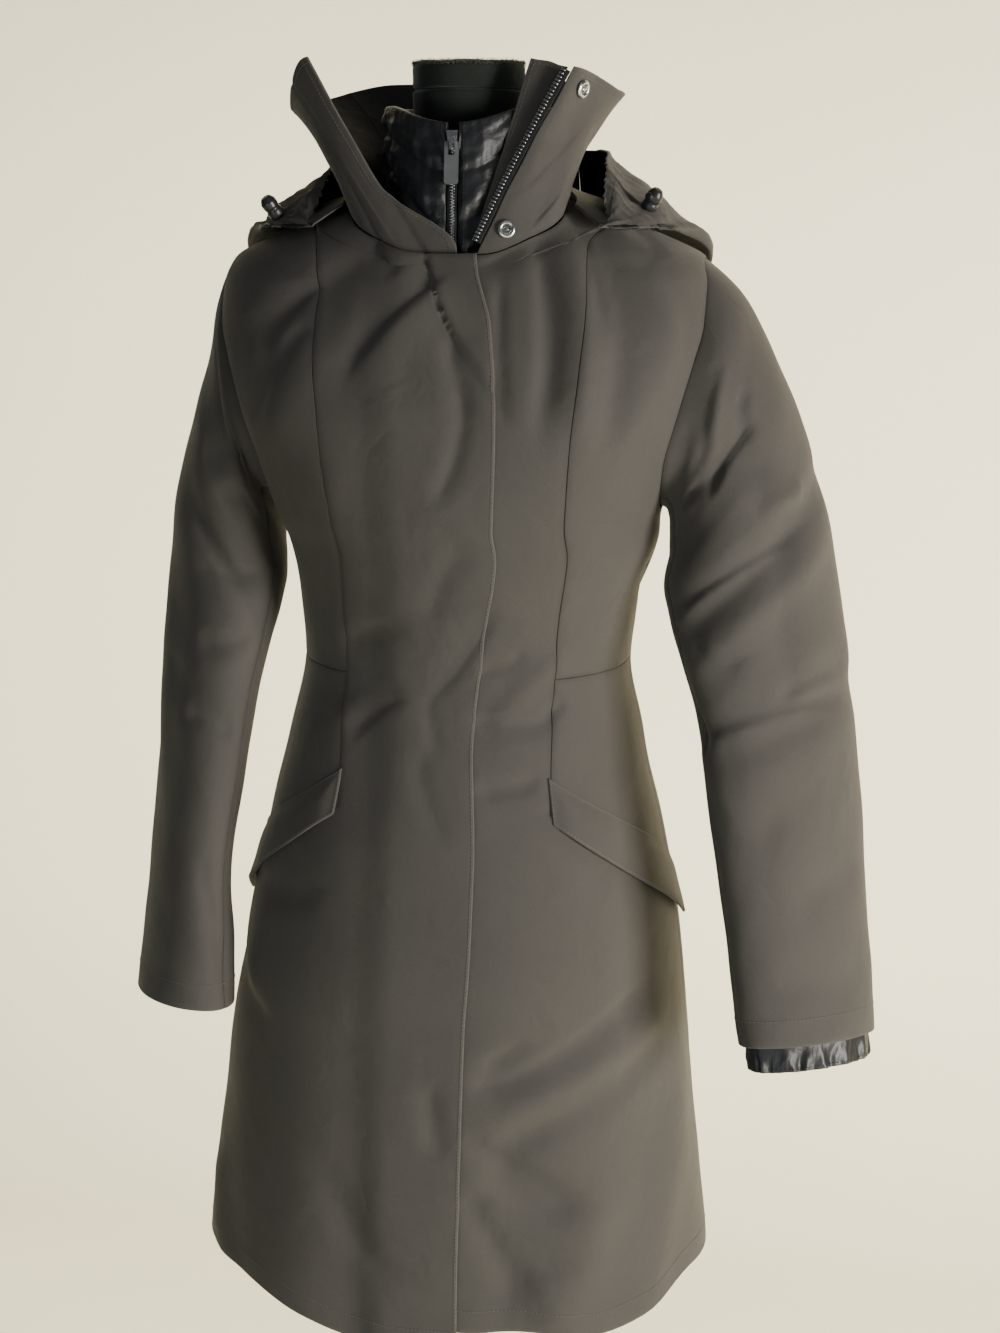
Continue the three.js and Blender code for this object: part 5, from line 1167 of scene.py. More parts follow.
# Each finish: its kind, its colour or the panel's name for it, and what sets it apart
FINISHES = {
    "Outer cloth": (cloth_finish, "shell", dict(
        contrast=0.12, crease=0.0040, crease_size=10.0, sharpness=1.3, weave=0.0001, Sheen_Weight=0.18,
        Sheen_Roughness=0.45, Sheen_Tint=(0.9, 0.86, 0.8, 1.0), Specular_IOR_Level=0.32)),
    "Outer cloth lining": (cloth_finish, "lining", dict(
        contrast=0.15, thread=0.0004, rough=(0.45, 0.6), crease=0.0008, crease_size=40.0,
        Specular_IOR_Level=0.4)),
    "Quilted liner cloth": (cloth_finish, "liner", dict(
        contrast=0.15, thread=0.0004, weave=0.00003, rough=(0.36, 0.5), crease=0.0010, crease_size=38.0,
        sharpness=0.9, edge=0.15, flecks=0.03, Specular_IOR_Level=0.45, Sheen_Weight=0.08,
        Sheen_Roughness=0.4)),
    "Zip tape": (cloth_finish, "tape", dict(
        contrast=0.15, thread=0.0009, weave=0.00012, rough=(0.7, 0.85), crease=0.0001,
        Specular_IOR_Level=0.3)),
    "Form velvet": (cloth_finish, "form", dict(
        contrast=0.25, thread=0.0006, weave=0.0001, rough=(0.9, 1.0), crease=0.0003, crease_size=60.0,
        flecks=0.25, Sheen_Weight=0.7, Sheen_Roughness=0.35, Sheen_Tint=(0.62, 0.68, 0.72, 1.0),
        Specular_IOR_Level=0.2)),
    "Loose fibres": (cloth_finish, (0.085, 0.078, 0.060), dict(
        contrast=0.3, thread=0.0006, rough=(0.8, 0.95), crease=0.0001, Sheen_Weight=0.3)),
    "Sewing thread": (cloth_finish, "shell", dict(
        strength=1.35, contrast=0.1, thread=0.0003, rough=(0.55, 0.7), crease=0.00005, Sheen_Weight=0.3)),
    "Dark sewing thread": (cloth_finish, "liner", dict(
        contrast=0.1, thread=0.0003, rough=(0.5, 0.65), crease=0.00005)),
    "Bright metal": (hard_finish, "metal", dict(rough=(0.16, 0.3), Metallic=1.0)),
    "Zip teeth": (hard_finish, (0.27, 0.27, 0.28), dict(rough=(0.2, 0.36), Metallic=0.95)),
    "Dark plastic": (hard_finish, (0.016, 0.016, 0.018), dict(
        rough=(0.28, 0.42), grain=0.00004, Specular_IOR_Level=0.5)),
    "Pull tab": (hard_finish, "tab", dict(rough=(0.3, 0.45), Metallic=0.35, Specular_IOR_Level=0.5)),
    "Polished pole": (hard_finish, (0.6, 0.61, 0.62), dict(rough=(0.1, 0.2), grain=0.00001, Metallic=1.0)),
    "Satin black base": (hard_finish, (0.02, 0.02, 0.022), dict(
        rough=(0.35, 0.5), grain=0.00005, grain_size=1400.0, Specular_IOR_Level=0.5, Coat_Weight=0.2,
        Coat_Roughness=0.3)),
}


def material(name):
    kind, colour, settings = FINISHES[name]
    if isinstance(colour, str):
        colour = getattr(bpy.context.scene.parka_colours, colour)
    return kind(name, colour, **settings)


# Pieces


def step():
    return bpy.context.scene.parka_cloth.mesh_step


def full_heights():
    """Heights of a whole panel's rows between its named levels, closer where the armhole curves."""
    levels = (HEM, POCKET_OUTER, POCKET_INNER, WAIST, UNDERARM)
    rows = [(low, high, max(1, round((high - low) / step()))) for low, high in zip(levels, levels[1:])]
    corner = SHOULDER_MEETS_PRINCESS
    rows += [(UNDERARM, SHOULDER_TIP, 56), (SHOULDER_TIP, corner, 20), (corner, corner + 0.0004, 1),
             (corner + 0.0004, NECK_BASE, 16)]
    heights = [np.array([HEM])]
    for low, high, count in rows:
        share = np.arange(1, count + 1) / count
        if low == UNDERARM:
            share = (1 - np.cos(np.pi * share)) / 2
        heights.append(mix(low, high, share))
    return np.concatenate(heights)


def with_edges(heights):
    """Adds close rows inside the first and last height, where a panel's edge is rounded."""
    first, last = heights[0], heights[-1]
    inner = heights[(heights > first + 0.003) & (heights < last - 0.002)]
    return np.concatenate([first + EDGE, inner, last - 0.6 * EDGE[::-1]])


def gap_angle(angle, z):
    per_degree = np.linalg.norm(plain_coat(angle + 0.5, z) - plain_coat(angle - 0.5, z), axis=-1)
    return SEAM / 4 / per_degree


def body_panel(node, start, end, heights, width, side=1, lift=None, hem_from=-360, sewn="left right high"):
    z = heights[:, None]

    def edge_at(edge):
        return edge(bent_height(side * edge(z), z))

    def columns(edge, at):
        """Above the shoulder's corner the columns keep their places, and only the outermost ones run on."""
        first, last = edge_at(edge[0]), edge_at(edge[1])
        low = np.full_like(z, SHOULDER_MEETS_PRINCESS)
        steady = [np.where(z > low, each(low), found) for each, found in zip(edge, (first, last))]
        inner = [steady[0] + gap_angle(steady[0], z), steady[1] - gap_angle(steady[1], z)]
        beyond = (last - steady[1]) * at**9 + (first - steady[0]) * (1 - at) ** 9
        return mix(inner[0], inner[1], at) + beyond

    angle = side * columns((start, end), stations(width, step())[None, :])
    height = bent_height(np.maximum(angle, hem_from), z)
    return shell(node, coat, angle, height, lift=lift(angle, height) if lift else 0.0, sewn=sewn)


def stitching(name, rows, slot="shell"):
    """Sews rows of stitches, given as lines of points and outward directions."""
    pitch = bpy.context.scene.parka_cloth.stitch_pitch
    size = (STITCH["wide"], STITCH["long"] * pitch, STITCH["tall"])
    sets = []
    for line, out in rows:
        places, side, along, up = spaced(line, out, pitch)
        sets.append(copies(stitch_shape(), places + up * STITCH["lift"], side, along, up, size))
    add_shape("stitches_" + name, sets, "Sewing thread" if slot == "shell" else "Dark sewing thread")


def length_setting(name, about, default, low, high):
    return FloatProperty(name=name, description=about, default=default, min=low, max=high, unit="LENGTH")


def power_setting(name, about, default):
    return FloatProperty(name=name, description=about, default=default, min=0, unit="POWER")


def colour_setting(name, about, default):
    return FloatVectorProperty(
        name=name, description=about, default=default, size=3, min=0, max=1, subtype="COLOR")


class ParkaCloth(bpy.types.PropertyGroup):
    thickness: length_setting(
        "Cloth thickness", "Thickness of the outer cloth with its lining", 0.0026, 0.001, 0.003)
    mesh_step: length_setting(
        "Mesh step", "Size of the mesh's faces on the large panels", 0.0042, 0.003, 0.02)
    stitch_pitch: length_setting("Stitch pitch", "Length of one sewn stitch", 0.0034, 0.002, 0.01)


class ParkaColours(bpy.types.PropertyGroup):
    shell: colour_setting("Outer cloth", "Colour of the outer cloth", (0.070, 0.064, 0.059))
    lining: colour_setting("Lining", "Colour of the outer cloth's inside", (0.012, 0.012, 0.013))
    liner: colour_setting("Quilted liner", "Colour of the padded collar and cuff", (0.011, 0.012, 0.015))
    tape: colour_setting("Zip tape", "Colour of the zips' woven tapes", (0.014, 0.014, 0.016))
    metal: colour_setting("Snaps and slider", "Colour of the bright metal", (0.66, 0.67, 0.68))
    tab: colour_setting("Pull tab", "Colour of the zip's pull tab", (0.15, 0.16, 0.17))
    form: colour_setting("Dress form", "Colour of the form's velvet cover", (0.016, 0.019, 0.017))


class ParkaStage(bpy.types.PropertyGroup):
    key: power_setting("Key light", "Power of the warm light from the front right", 112.0)
    fill: power_setting("Fill light", "Power of the cool light from low on the left", 15.0)
    wall: colour_setting("Wall", "Colour of the wall and floor", (0.88, 0.83, 0.64))


class PARKA_OT_body(bpy.types.Operator):
    """Builds the coat's fronts, side fronts and backs"""
    bl_idname = "parka.body"
    bl_label = "Body panels"

    def execute(self, context):
        full = full_heights()
        whole = with_edges(full)
        below_corner = full <= SHOULDER_MEETS_PRINCESS + 1e-6
        back = with_edges(full[below_corner])
        bodice = with_edges(full[below_corner & (full >= WAIST - 1e-6)])
        bodice[0] += SEAM / 2
        right = body_panel("front_right", lambda z: -fly_edge(z), front_outer_edge, whole, 0.19, side=-1,
                           lift=fly_lift, sewn="right high")
        left = body_panel("front_left", lambda z: FLY_LAP["under_angle"] + 0 * z, front_outer_edge, whole,
                          0.14, hem_from=FLY_LAP["hem_angle"], sewn="right high")
        for word, side in SIDES:
            body_panel("side_front_bodice_" + word, princess, arm_edge, bodice, 0.10, side,
                       sewn="left right low high")
            body_panel("side_back_" + word, lambda z: arm_edge(z, "back"), princess_back, back, 0.13, side)
            body_panel("centre_back_" + word, princess_back, lambda z: 180.0 + 0 * z, whole, 0.10, side)
            self.hip(word, side)
        stitching("fly_and_hem", [
            beside(right, "left", STITCH_IN["fly"], (0.01, 0.99)), beside(right, "low", STITCH_IN["hem"]),
            beside(left, "low", STITCH_IN["hem"], (0.2, 1.0))])
        return {"FINISHED"}

    def hip(self, word, side):
        inner = float(princess(POCKET_INNER))
        s = stations(0.15, step())[None, :]
        z = mix(pocket_line(mix(inner, 90, s)) + SEAM / 2, WAIST, stations(0.19, step())[:, None])
        edge = np.where(z > POCKET_INNER, princess(z), inner)
        start, end = edge + gap_angle(edge, z), 90 - gap_angle(90.0, z)
        shell("side_front_hip_" + word, coat, side * mix(start, end, s), z, sewn="left right low high")


class PARKA_OT_pockets(bpy.types.Operator):
    """Builds the slanted pocket welts and the zips in their open ends"""
    bl_idname = "parka.pockets"
    bl_label = "Pockets"

    def execute(self, context):
        rows, teeth = [], []
        for word, side in SIDES:
            welt = self.welt(word, side)
            rows.append(beside(welt, "low", STITCH_IN["welt_fold"]))
            rows += [beside(welt, edge, STITCH_IN["welt"]) for edge in ("high", "left")]
            teeth += self.zip(word, side)
        stitching("pockets", rows)
        add_shape("pocket_zip_teeth", teeth, "Zip teeth")
        return {"FINISHED"}

    def welt(self, word, side):
        """A band that hangs over the pocket line: sewn down at its top and inner end, open at the other."""
        inner = float(princess(POCKET_INNER))
        angle = mix(inner + WELT["overlap"], WELT["end_angle"], stations(0.16, 0.003))[None, :]
        line = mix(POCKET_INNER, POCKET_OUTER, (angle - inner) / (90 - inner))
        tall = mix(WELT["inner_tall"], WELT["outer_tall"], (angle - angle.min()) / np.ptp(angle))
        z = line - WELT["below"] + tall * stations(0.05, 0.003)[:, None]
        below = smooth((pocket_line(angle) + WELT_OPENING["from_height"] - z) / WELT_OPENING["heights"])
        open_end = smooth((angle - WELT_OPENING["from_angle"]) / WELT_OPENING["angles"])
        flat = plain_coat(angle, z)
        down = run(flat, 0)
        sewn = np.exp(-((np.minimum(run(flat, 1), down[-1:] - down) / WELT["sewn_over"]) ** 2))
        opened = open_end * below * WELT_OPENING["rise"]
        lift = WALL + LAYER_GAP + WELT["seat"] + opened - WELT["sewn_down"] * sewn
        return shell("pocket_welt_" + word, coat, side * angle, z, lift=lift,
                     rests_on="side_front_hip_" + word)

    def zip(self, word, side):
        angle = mix(POCKET_ZIP["from"], POCKET_ZIP["to"], stations(0.03, 0.002))[None, :]
        z = pocket_line(angle) + mix(POCKET_ZIP["low"], POCKET_ZIP["high"], stations(0.009, 0.0015))[:, None]
        strip = shell("pocket_zip_" + word, coat, side * angle, z, ["Zip tape"], slot="zip",
                      lift=POCKET_ZIP["lift"], thick=POCKET_ZIP["thick"], held="laid",
                      rests_on="front_" + word)
        made = []
        for distance, shift in ((0.0038, 0.0), (0.0052, 0.5)):
            line, out = beside(strip, "low", distance, (0.04, 0.96))
            places, across, along, up = spaced(line, out, POCKET_TOOTH["pitch"])
            places = places + along * POCKET_TOOTH["pitch"] * shift + up * 0.0004
            made.append(copies(tooth_shape(), places, across, along, up, POCKET_TOOTH["size"]))
        return made


class PARKA_OT_sleeves(bpy.types.Operator):
    """Builds the two-piece set-in sleeves"""
    bl_idname = "parka.sleeves"
    bl_label = "Sleeves"

    def execute(self, context):
        rows = []
        front, back, gap = SLEEVE_SEAMS["front"], SLEEVE_SEAMS["back"], SLEEVE_SEAMS["gap"]
        for (word, side), (rings, folds, creases) in zip(SIDES, (
            (RIGHT_SLEEVE, RIGHT_SLEEVE_FOLDS, RIGHT_SLEEVE_CREASES),
            (LEFT_SLEEVE, LEFT_SLEEVE_FOLDS, LEFT_SLEEVE_CREASES),
        )):
            def point(turn, along):
                return sleeve(rings, folds, creases, turn, along) * np.array([side, 1.0, 1.0])

            turns = np.arange(-105.0, 255.0, 15.0)[None, :]
            whole = np.linspace(0, 10, 201)[:, None]
            length = run(sleeve_base(rings, turns, whole), 0).mean(1)
            along = np.interp(stations(length[-1], step()) * length[-1], length, whole[:, 0])[:, None]
            for part, start, end, width in (("upper", back - 360, front, 0.30), ("under", front, back, 0.13)):
                turn = mix(start + gap, end - gap, stations(width, step()))[None, :]
                made = shell(f"sleeve_{part}_{word}", point, turn, along, steps=SLEEVE_STEPS, sign=side,
                             sewn="left right low", rests_on="side_back_" + word)
                rows.append(beside(made, "high", STITCH_IN["sleeve"]))
                if part == "upper":
                    rows.append(beside(made, "left", STITCH_IN["sleeve_seam"], (0.02, 0.96)))
        stitching("sleeves", rows)
        return {"FINISHED"}


class PARKA_OT_cuff(bpy.types.Operator):
    """Builds the liner's crinkled cuff below the wearer's left sleeve"""
    bl_idname = "parka.cuff"
    bl_label = "Liner cuff"

    def execute(self, context):
        split, gap = LINER_CUFF["split"], LINER_CUFF["gap"]
        along = mix(LINER_CUFF["from"], LINER_CUFF["to"], stations(0.048, 0.0016))[:, None]
        rows = []
        for part, start in (("front", split - 180), ("back", split)):
            turn = mix(start + gap, start + 180 - gap, stations(0.16, 0.0018))[None, :]
            made = shell("liner_cuff_" + part, liner_cuff_point, turn, along, ["Quilted liner cloth"],
                         slot="liner", steps=SLEEVE_STEPS, thick=LINER_CUFF["thick"], held="gathered",
                         rests_on="sleeve_upper_left")
            rows.append(beside(made, "high", STITCH_IN["liner"]))
        stitching("liner_cuff", rows, "liner")
        return {"FINISHED"}


class PARKA_OT_collar(bpy.types.Operator):
    """Builds the spread stand collar and the storm flap beside its zip"""
    bl_idname = "parka.collar"
    bl_label = "Stand collar"

    def execute(self, context):
        rows = []
        gap, front = COLLAR_SPLITS["gap"], COLLAR_SPLITS["front"]
        share = stations(0.14, 0.0026)[:, None]
        for name, start, end, sewn in (
            ("collar_right", COLLAR_SPLITS["right"], -front, "low left"),
            ("collar_left", front, COLLAR_SPLITS["left"], "low right"),
            ("collar_back", COLLAR_SPLITS["left"], 360 + COLLAR_SPLITS["right"], "left right low"),
        ):
            foot = COLLAR_FOOT["past"] * (1 - smooth(share / COLLAR_FOOT["share"])) * (name == "collar_right")
            angle = mix(start + gap, end - gap + foot, stations(0.19, 0.0026)[None, :])
            made = shell(name, collar, angle, share, thick=0.003, steps=COLLAR_STEPS, sewn=sewn,
                         rests_on="centre_back_left")
            rows.append(beside(made, "high", STITCH_IN["collar"]))
            if name == "collar_right":
                rows.append(beside(made, "right", STITCH_IN["collar"], (0.03, 0.97)))

        def flap(u, v):
            return facing_point(u, v) + uneven("flap", u * 0.04, v * 0.14)[..., None]

        up = mix(FACING["foot"], 1.0, stations(0.14, 0.0026))[:, None]
        made = shell("facing_left", flap, stations(0.04, 0.0022)[None, :], up, ["Outer cloth"], sign=-1,
                     steps=(0.05, 0.02), thick=FACING["thick"], rests_on="collar_left")
        rows += [beside(made, edge, STITCH_IN["flap"]) for edge in ("right", "high")]
        stitching("collar", rows)
        return {"FINISHED"}


class PARKA_OT_main_zip(bpy.types.Operator):
    """Builds the open main zip's tape and teeth on the wearer's left collar"""
    bl_idname = "parka.main_zip"
    bl_label = "Main zip"

    def execute(self, context):
        across = mix(-ZIP_TAPE["width"], 0.0, stations(ZIP_TAPE["width"], 0.001))[None, :]
        share = mix(ZIP_TAPE["foot"], ZIP_TAPE["head"], stations(0.14, 0.002))[:, None]
        tape = shell("main_zip_tape", zip_point, across, share, ["Zip tape"], slot="zip",
                     steps=(0.0005, 0.02), thick=ZIP_TAPE["thick"], held="hung", rests_on="collar_left")
        line, out = beside(tape, "left", ZIP_TEETH["inset"], (0.01, 0.99))
        pitch = run(line[None], 1)[0, -1] / ZIP_TEETH["count"]
        places, side, along, up = spaced(line, out, pitch)
        size = ZIP_TEETH["long"], 0.56 * pitch, ZIP_TEETH["thick"]
        block = copies(tooth_shape(), places + up * 0.0007, side, along, up, size)
        head = (0.0012, 0.72 * pitch, 0.0014)
        free = tape["points"][5, 0] - tape["points"][5, -1]
        toward = side * np.sign(side @ free)[:, None]
        hook = copies(tooth_shape(), places + up * 0.0008 + toward * 0.0018, side, along, up, head)
        add_shape("main_zip_teeth", [block, hook], "Zip teeth")
        return {"FINISHED"}


class PARKA_OT_snaps(bpy.types.Operator):
    """Builds the ring snaps and the stud inside the right collar"""
    bl_idname = "parka.snaps"
    bl_label = "Snaps"

    def ring(self, name, angle, share, radius, side):
        angle, share = np.array(float(angle)), np.array(float(share))
        out = side * outward(collar, angle, share, COLLAR_STEPS)
        base = collar(angle, share) + out * (LAYER_GAP if side > 0 else WALL + 2 * SEAM)
        hole, height = SNAP["hole"], SNAP["height"]
        rim = lathe([
            (hole * 0.95, 0.0), (radius, 0.0), (radius, height * 0.55), (radius * 0.80, height),
            (radius * 0.66, height), (hole, height * 0.45), (hole * 0.95, 0.0)], 0.0006, 40, base, out)
        socket = lathe([
            (0.0, 0.0002), (hole, 0.0002), (hole, 0.0008), (hole * 0.62, 0.0008), (hole * 0.5, 0.0002),
            (0.0, 0.0002)], 0.0002, 32, base, out)
        post = lathe([
            (0.0, 0.0001), (hole * 0.38, 0.0001), (hole * 0.38, 0.0012), (0.0, 0.0013)],
            0.0004, 20, base, out)
        add_shape(name + "_ring", [rim, post], "Bright metal", [name])
        add_shape(name + "_socket", [socket], "Zip teeth")

    def execute(self, context):
        for name, (angle, share) in SNAPS.items():
            self.ring(name, angle, share, SNAP["radius"], 1)
        self.ring("snap_stud", STUD["angle"], STUD["share"], STUD["radius"], -1)
        return {"FINISHED"}


class PARKA_OT_hood(bpy.types.Operator):
    """Builds the crumpled hood that lies back on the shoulders"""
    bl_idname = "parka.hood"
    bl_label = "Hood"

    def execute(self, context):
        first, seam, gap = HOOD["angle"][0], HOOD_SEAM_ANGLE, 0.05
        share = stations(0.21, 0.0032)[:, None]
        rows = []
        for name, start, end, width, sewn in (
            ("hood_right", -first, -seam + gap, 0.20, "right"),
            ("hood_left", first, seam - gap, 0.20, "right"),
            ("hood_centre", seam + gap, 360 - seam - gap, 0.16, "left right"),
        ):
            angle = mix(start, end, stations(width, 0.0032))[None, :]
            made = shell(name, hood, angle, share, thick=HOOD_WALL, steps=HOOD_STEPS, held="gathered",
                         sewn=sewn, rests_on="centre_back_left")
            rows.append(beside(made, "high", STITCH_IN["hood"]))
            rows.append(beside(made, "right", STITCH_IN["hood_seam"], (0.45, 1.0)))
        stitching("hood", rows)
        return {"FINISHED"}


class PARKA_OT_cord_locks(bpy.types.Operator):
    """Builds the two barrel cord locks on the hood's rim"""
    bl_idname = "parka.cord_locks"
    bl_label = "Cord locks"

    def execute(self, context):
        def smooth_hood(u, v):
            return hood(u, v, False)

        r, tall = CORD_LOCK["radius"], CORD_LOCK["length"]
        for word, (angle, share, seat) in CORD_LOCKS.items():
            angle, share = np.array(float(angle)), np.array(float(share))
            out = outward(smooth_hood, angle, share, HOOD_STEPS, float(np.sign(angle)))
            out = -out if out[2] < 0 else out
            base = smooth_hood(angle, share) + out * seat
            barrel = lathe([
                (0.0, 0.0), (r * 0.80, 0.0), (r, r * 0.42), (r, tall * 0.36), (r * 0.9, tall * 0.42),
                (r * 0.9, tall * 0.48), (r, tall * 0.54), (r, tall * 0.78), (r * 0.62, tall * 0.98),
                (r * 0.30, tall), (0.0, tall * 0.98)], 0.0012, 36, base, out)
            helper = unit(np.cross(out, UP))
            button = lathe([(0.0, 0.0), (r * 0.5, 0.0), (r * 0.5, r * 1.25), (0.0, r * 1.3)], 0.0008, 20,
                           base + out * tall * 0.66, helper)
            name = "cord_lock_" + word
            add_shape(name + "_barrel", [barrel, button], "Dark plastic", [name])
        return {"FINISHED"}


class PARKA_OT_liner(bpy.types.Operator):
    """Builds the quilted liner collar with its zip"""
    bl_idname = "parka.liner"
    bl_label = "Quilted liner collar"

    def puffs(self, angle, share):
        """How far each channel swells, with puckers at its stitched lines."""
        channel = share * LINER_CHANNEL["count"]
        inside = np.abs(np.sin(np.pi * channel)) ** 0.62
        cell = np.floor(np.clip(channel, 0, LINER_CHANNEL["count"] - 0.001))
        x = angle * 0.00125
        lumps = ripple(x, cell * 0.7, 0.038, 41) + 0.6 * ripple(x, share * 0.1 + cell, 0.019, 42)
        wander = 1.7 * np.sin(angle * 0.09 + cell * 2.1)
        pleats = np.sin(angle * LINER_PUFF["pleats"] * 3 + wander + share * 5)
        near_line = np.exp(-((inside / 0.75) ** 2))
        swell = LINER_PUFF["rise"] * inside * (1 + 0.28 * lumps) + LINER_PUFF["uneven"] * lumps * inside
        diagonal = ripple(x + share * 0.05, share * 0.11 - x * 0.4, 0.016, 43) * 0.0007 * inside
        return swell + diagonal + LINER_PUFF["pucker"] * pleats * near_line * (0.25 + inside)

    def execute(self, context):
        def plain(u, v):
            return liner_place(u, v, False)

        edge, back = LINER["edge"], LINER["back_seam"]
        share = mix(LINER["foot"], 1.0, stations(0.11, 0.0016))[:, None]
        rows = []
        for name, start, end, width, front in (
            ("liner_collar_right", -back, -edge, 0.18, "right"),
            ("liner_collar_left", edge, back, 0.18, "left"),
            ("liner_collar_back", back, 360 - back, 0.07, ""),
        ):
            angle = mix(start + 0.1, end - 0.1, stations(width, 0.0018))[None, :]
            ends = smooth(np.minimum((angle - start) / 6, (end - angle) / 6) + 0.35)
            puff = self.puffs(angle, share) * ends
            made = shell(name, plain, angle, share, ["Quilted liner cloth"], slot="liner", steps=(0.3, 0.01),
                         thick=LINER["thick"] - 0.002, relief=puff, pad=0.6 * puff, sewn="left right")
            if front:
                rows.append(beside(made, front, STITCH_IN["liner_zip"], (0.03, 0.97)))
            rows.append(beside(made, "high", STITCH_IN["liner"]))
        stitching("liner", rows, "liner")
        self.zip()
        return {"FINISHED"}

    def zip(self):
        foot = float(LINER_BOTTOM["z"][0])
        head = (LINER_ZIP["top"] - foot) / (LINER["top_z"] - foot)
        half = LINER_ZIP["width"] / 2

        def tape_point(across, share):
            point = liner_place(0 * share, share)
            point[..., 0] = mix(-1, 1, across) * (half - LINER_ZIP["margin"])
            point[..., 1] += LINER_ZIP["sunk"]
            return point

        across = stations(LINER_ZIP["width"], 0.001)[None, :]
        share = mix(LINER_ZIP["foot"], head, stations(0.1, 0.002))[:, None]
        tape = shell("liner_zip_tape", tape_point, across, share, ["Zip tape"], slot="zip", steps=(0.1, 0.02),
                     thick=LINER_ZIP["thick"], held="hung", rests_on="liner_collar_left")
        size = LINER_TEETH["long"], LINER_TEETH["tall"], LINER_TEETH["thick"]
        sets = []
        for distance, shift in ((half - 0.0013, 0.0), (half + 0.0001, 0.5)):
            line, out = beside(tape, "left", distance, (0.02, 0.9))
            pitch = run(line[None], 1)[0, -1] / LINER_TEETH["count"]
            places, side, along, up = spaced(line, out, pitch)
            places = places + along * pitch * shift + up * 0.0003
            sets.append(copies(tooth_shape(), places, side, along, up, size))
        add_shape("liner_zip_teeth", sets, "Zip teeth")


class PARKA_OT_hardware(bpy.types.Operator):
    """Gives the liner's slider and its pull tab their metal"""
    bl_idname = "parka.hardware"
    bl_label = "Slider and pull tab"

    def execute(self, context):
        for name, metal in (("liner_slider", "Bright metal"), ("liner_pull_tab", "Pull tab")):
            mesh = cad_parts[name].data
            mesh.materials.clear()
            mesh.materials.append(material(metal))
        return {"FINISHED"}


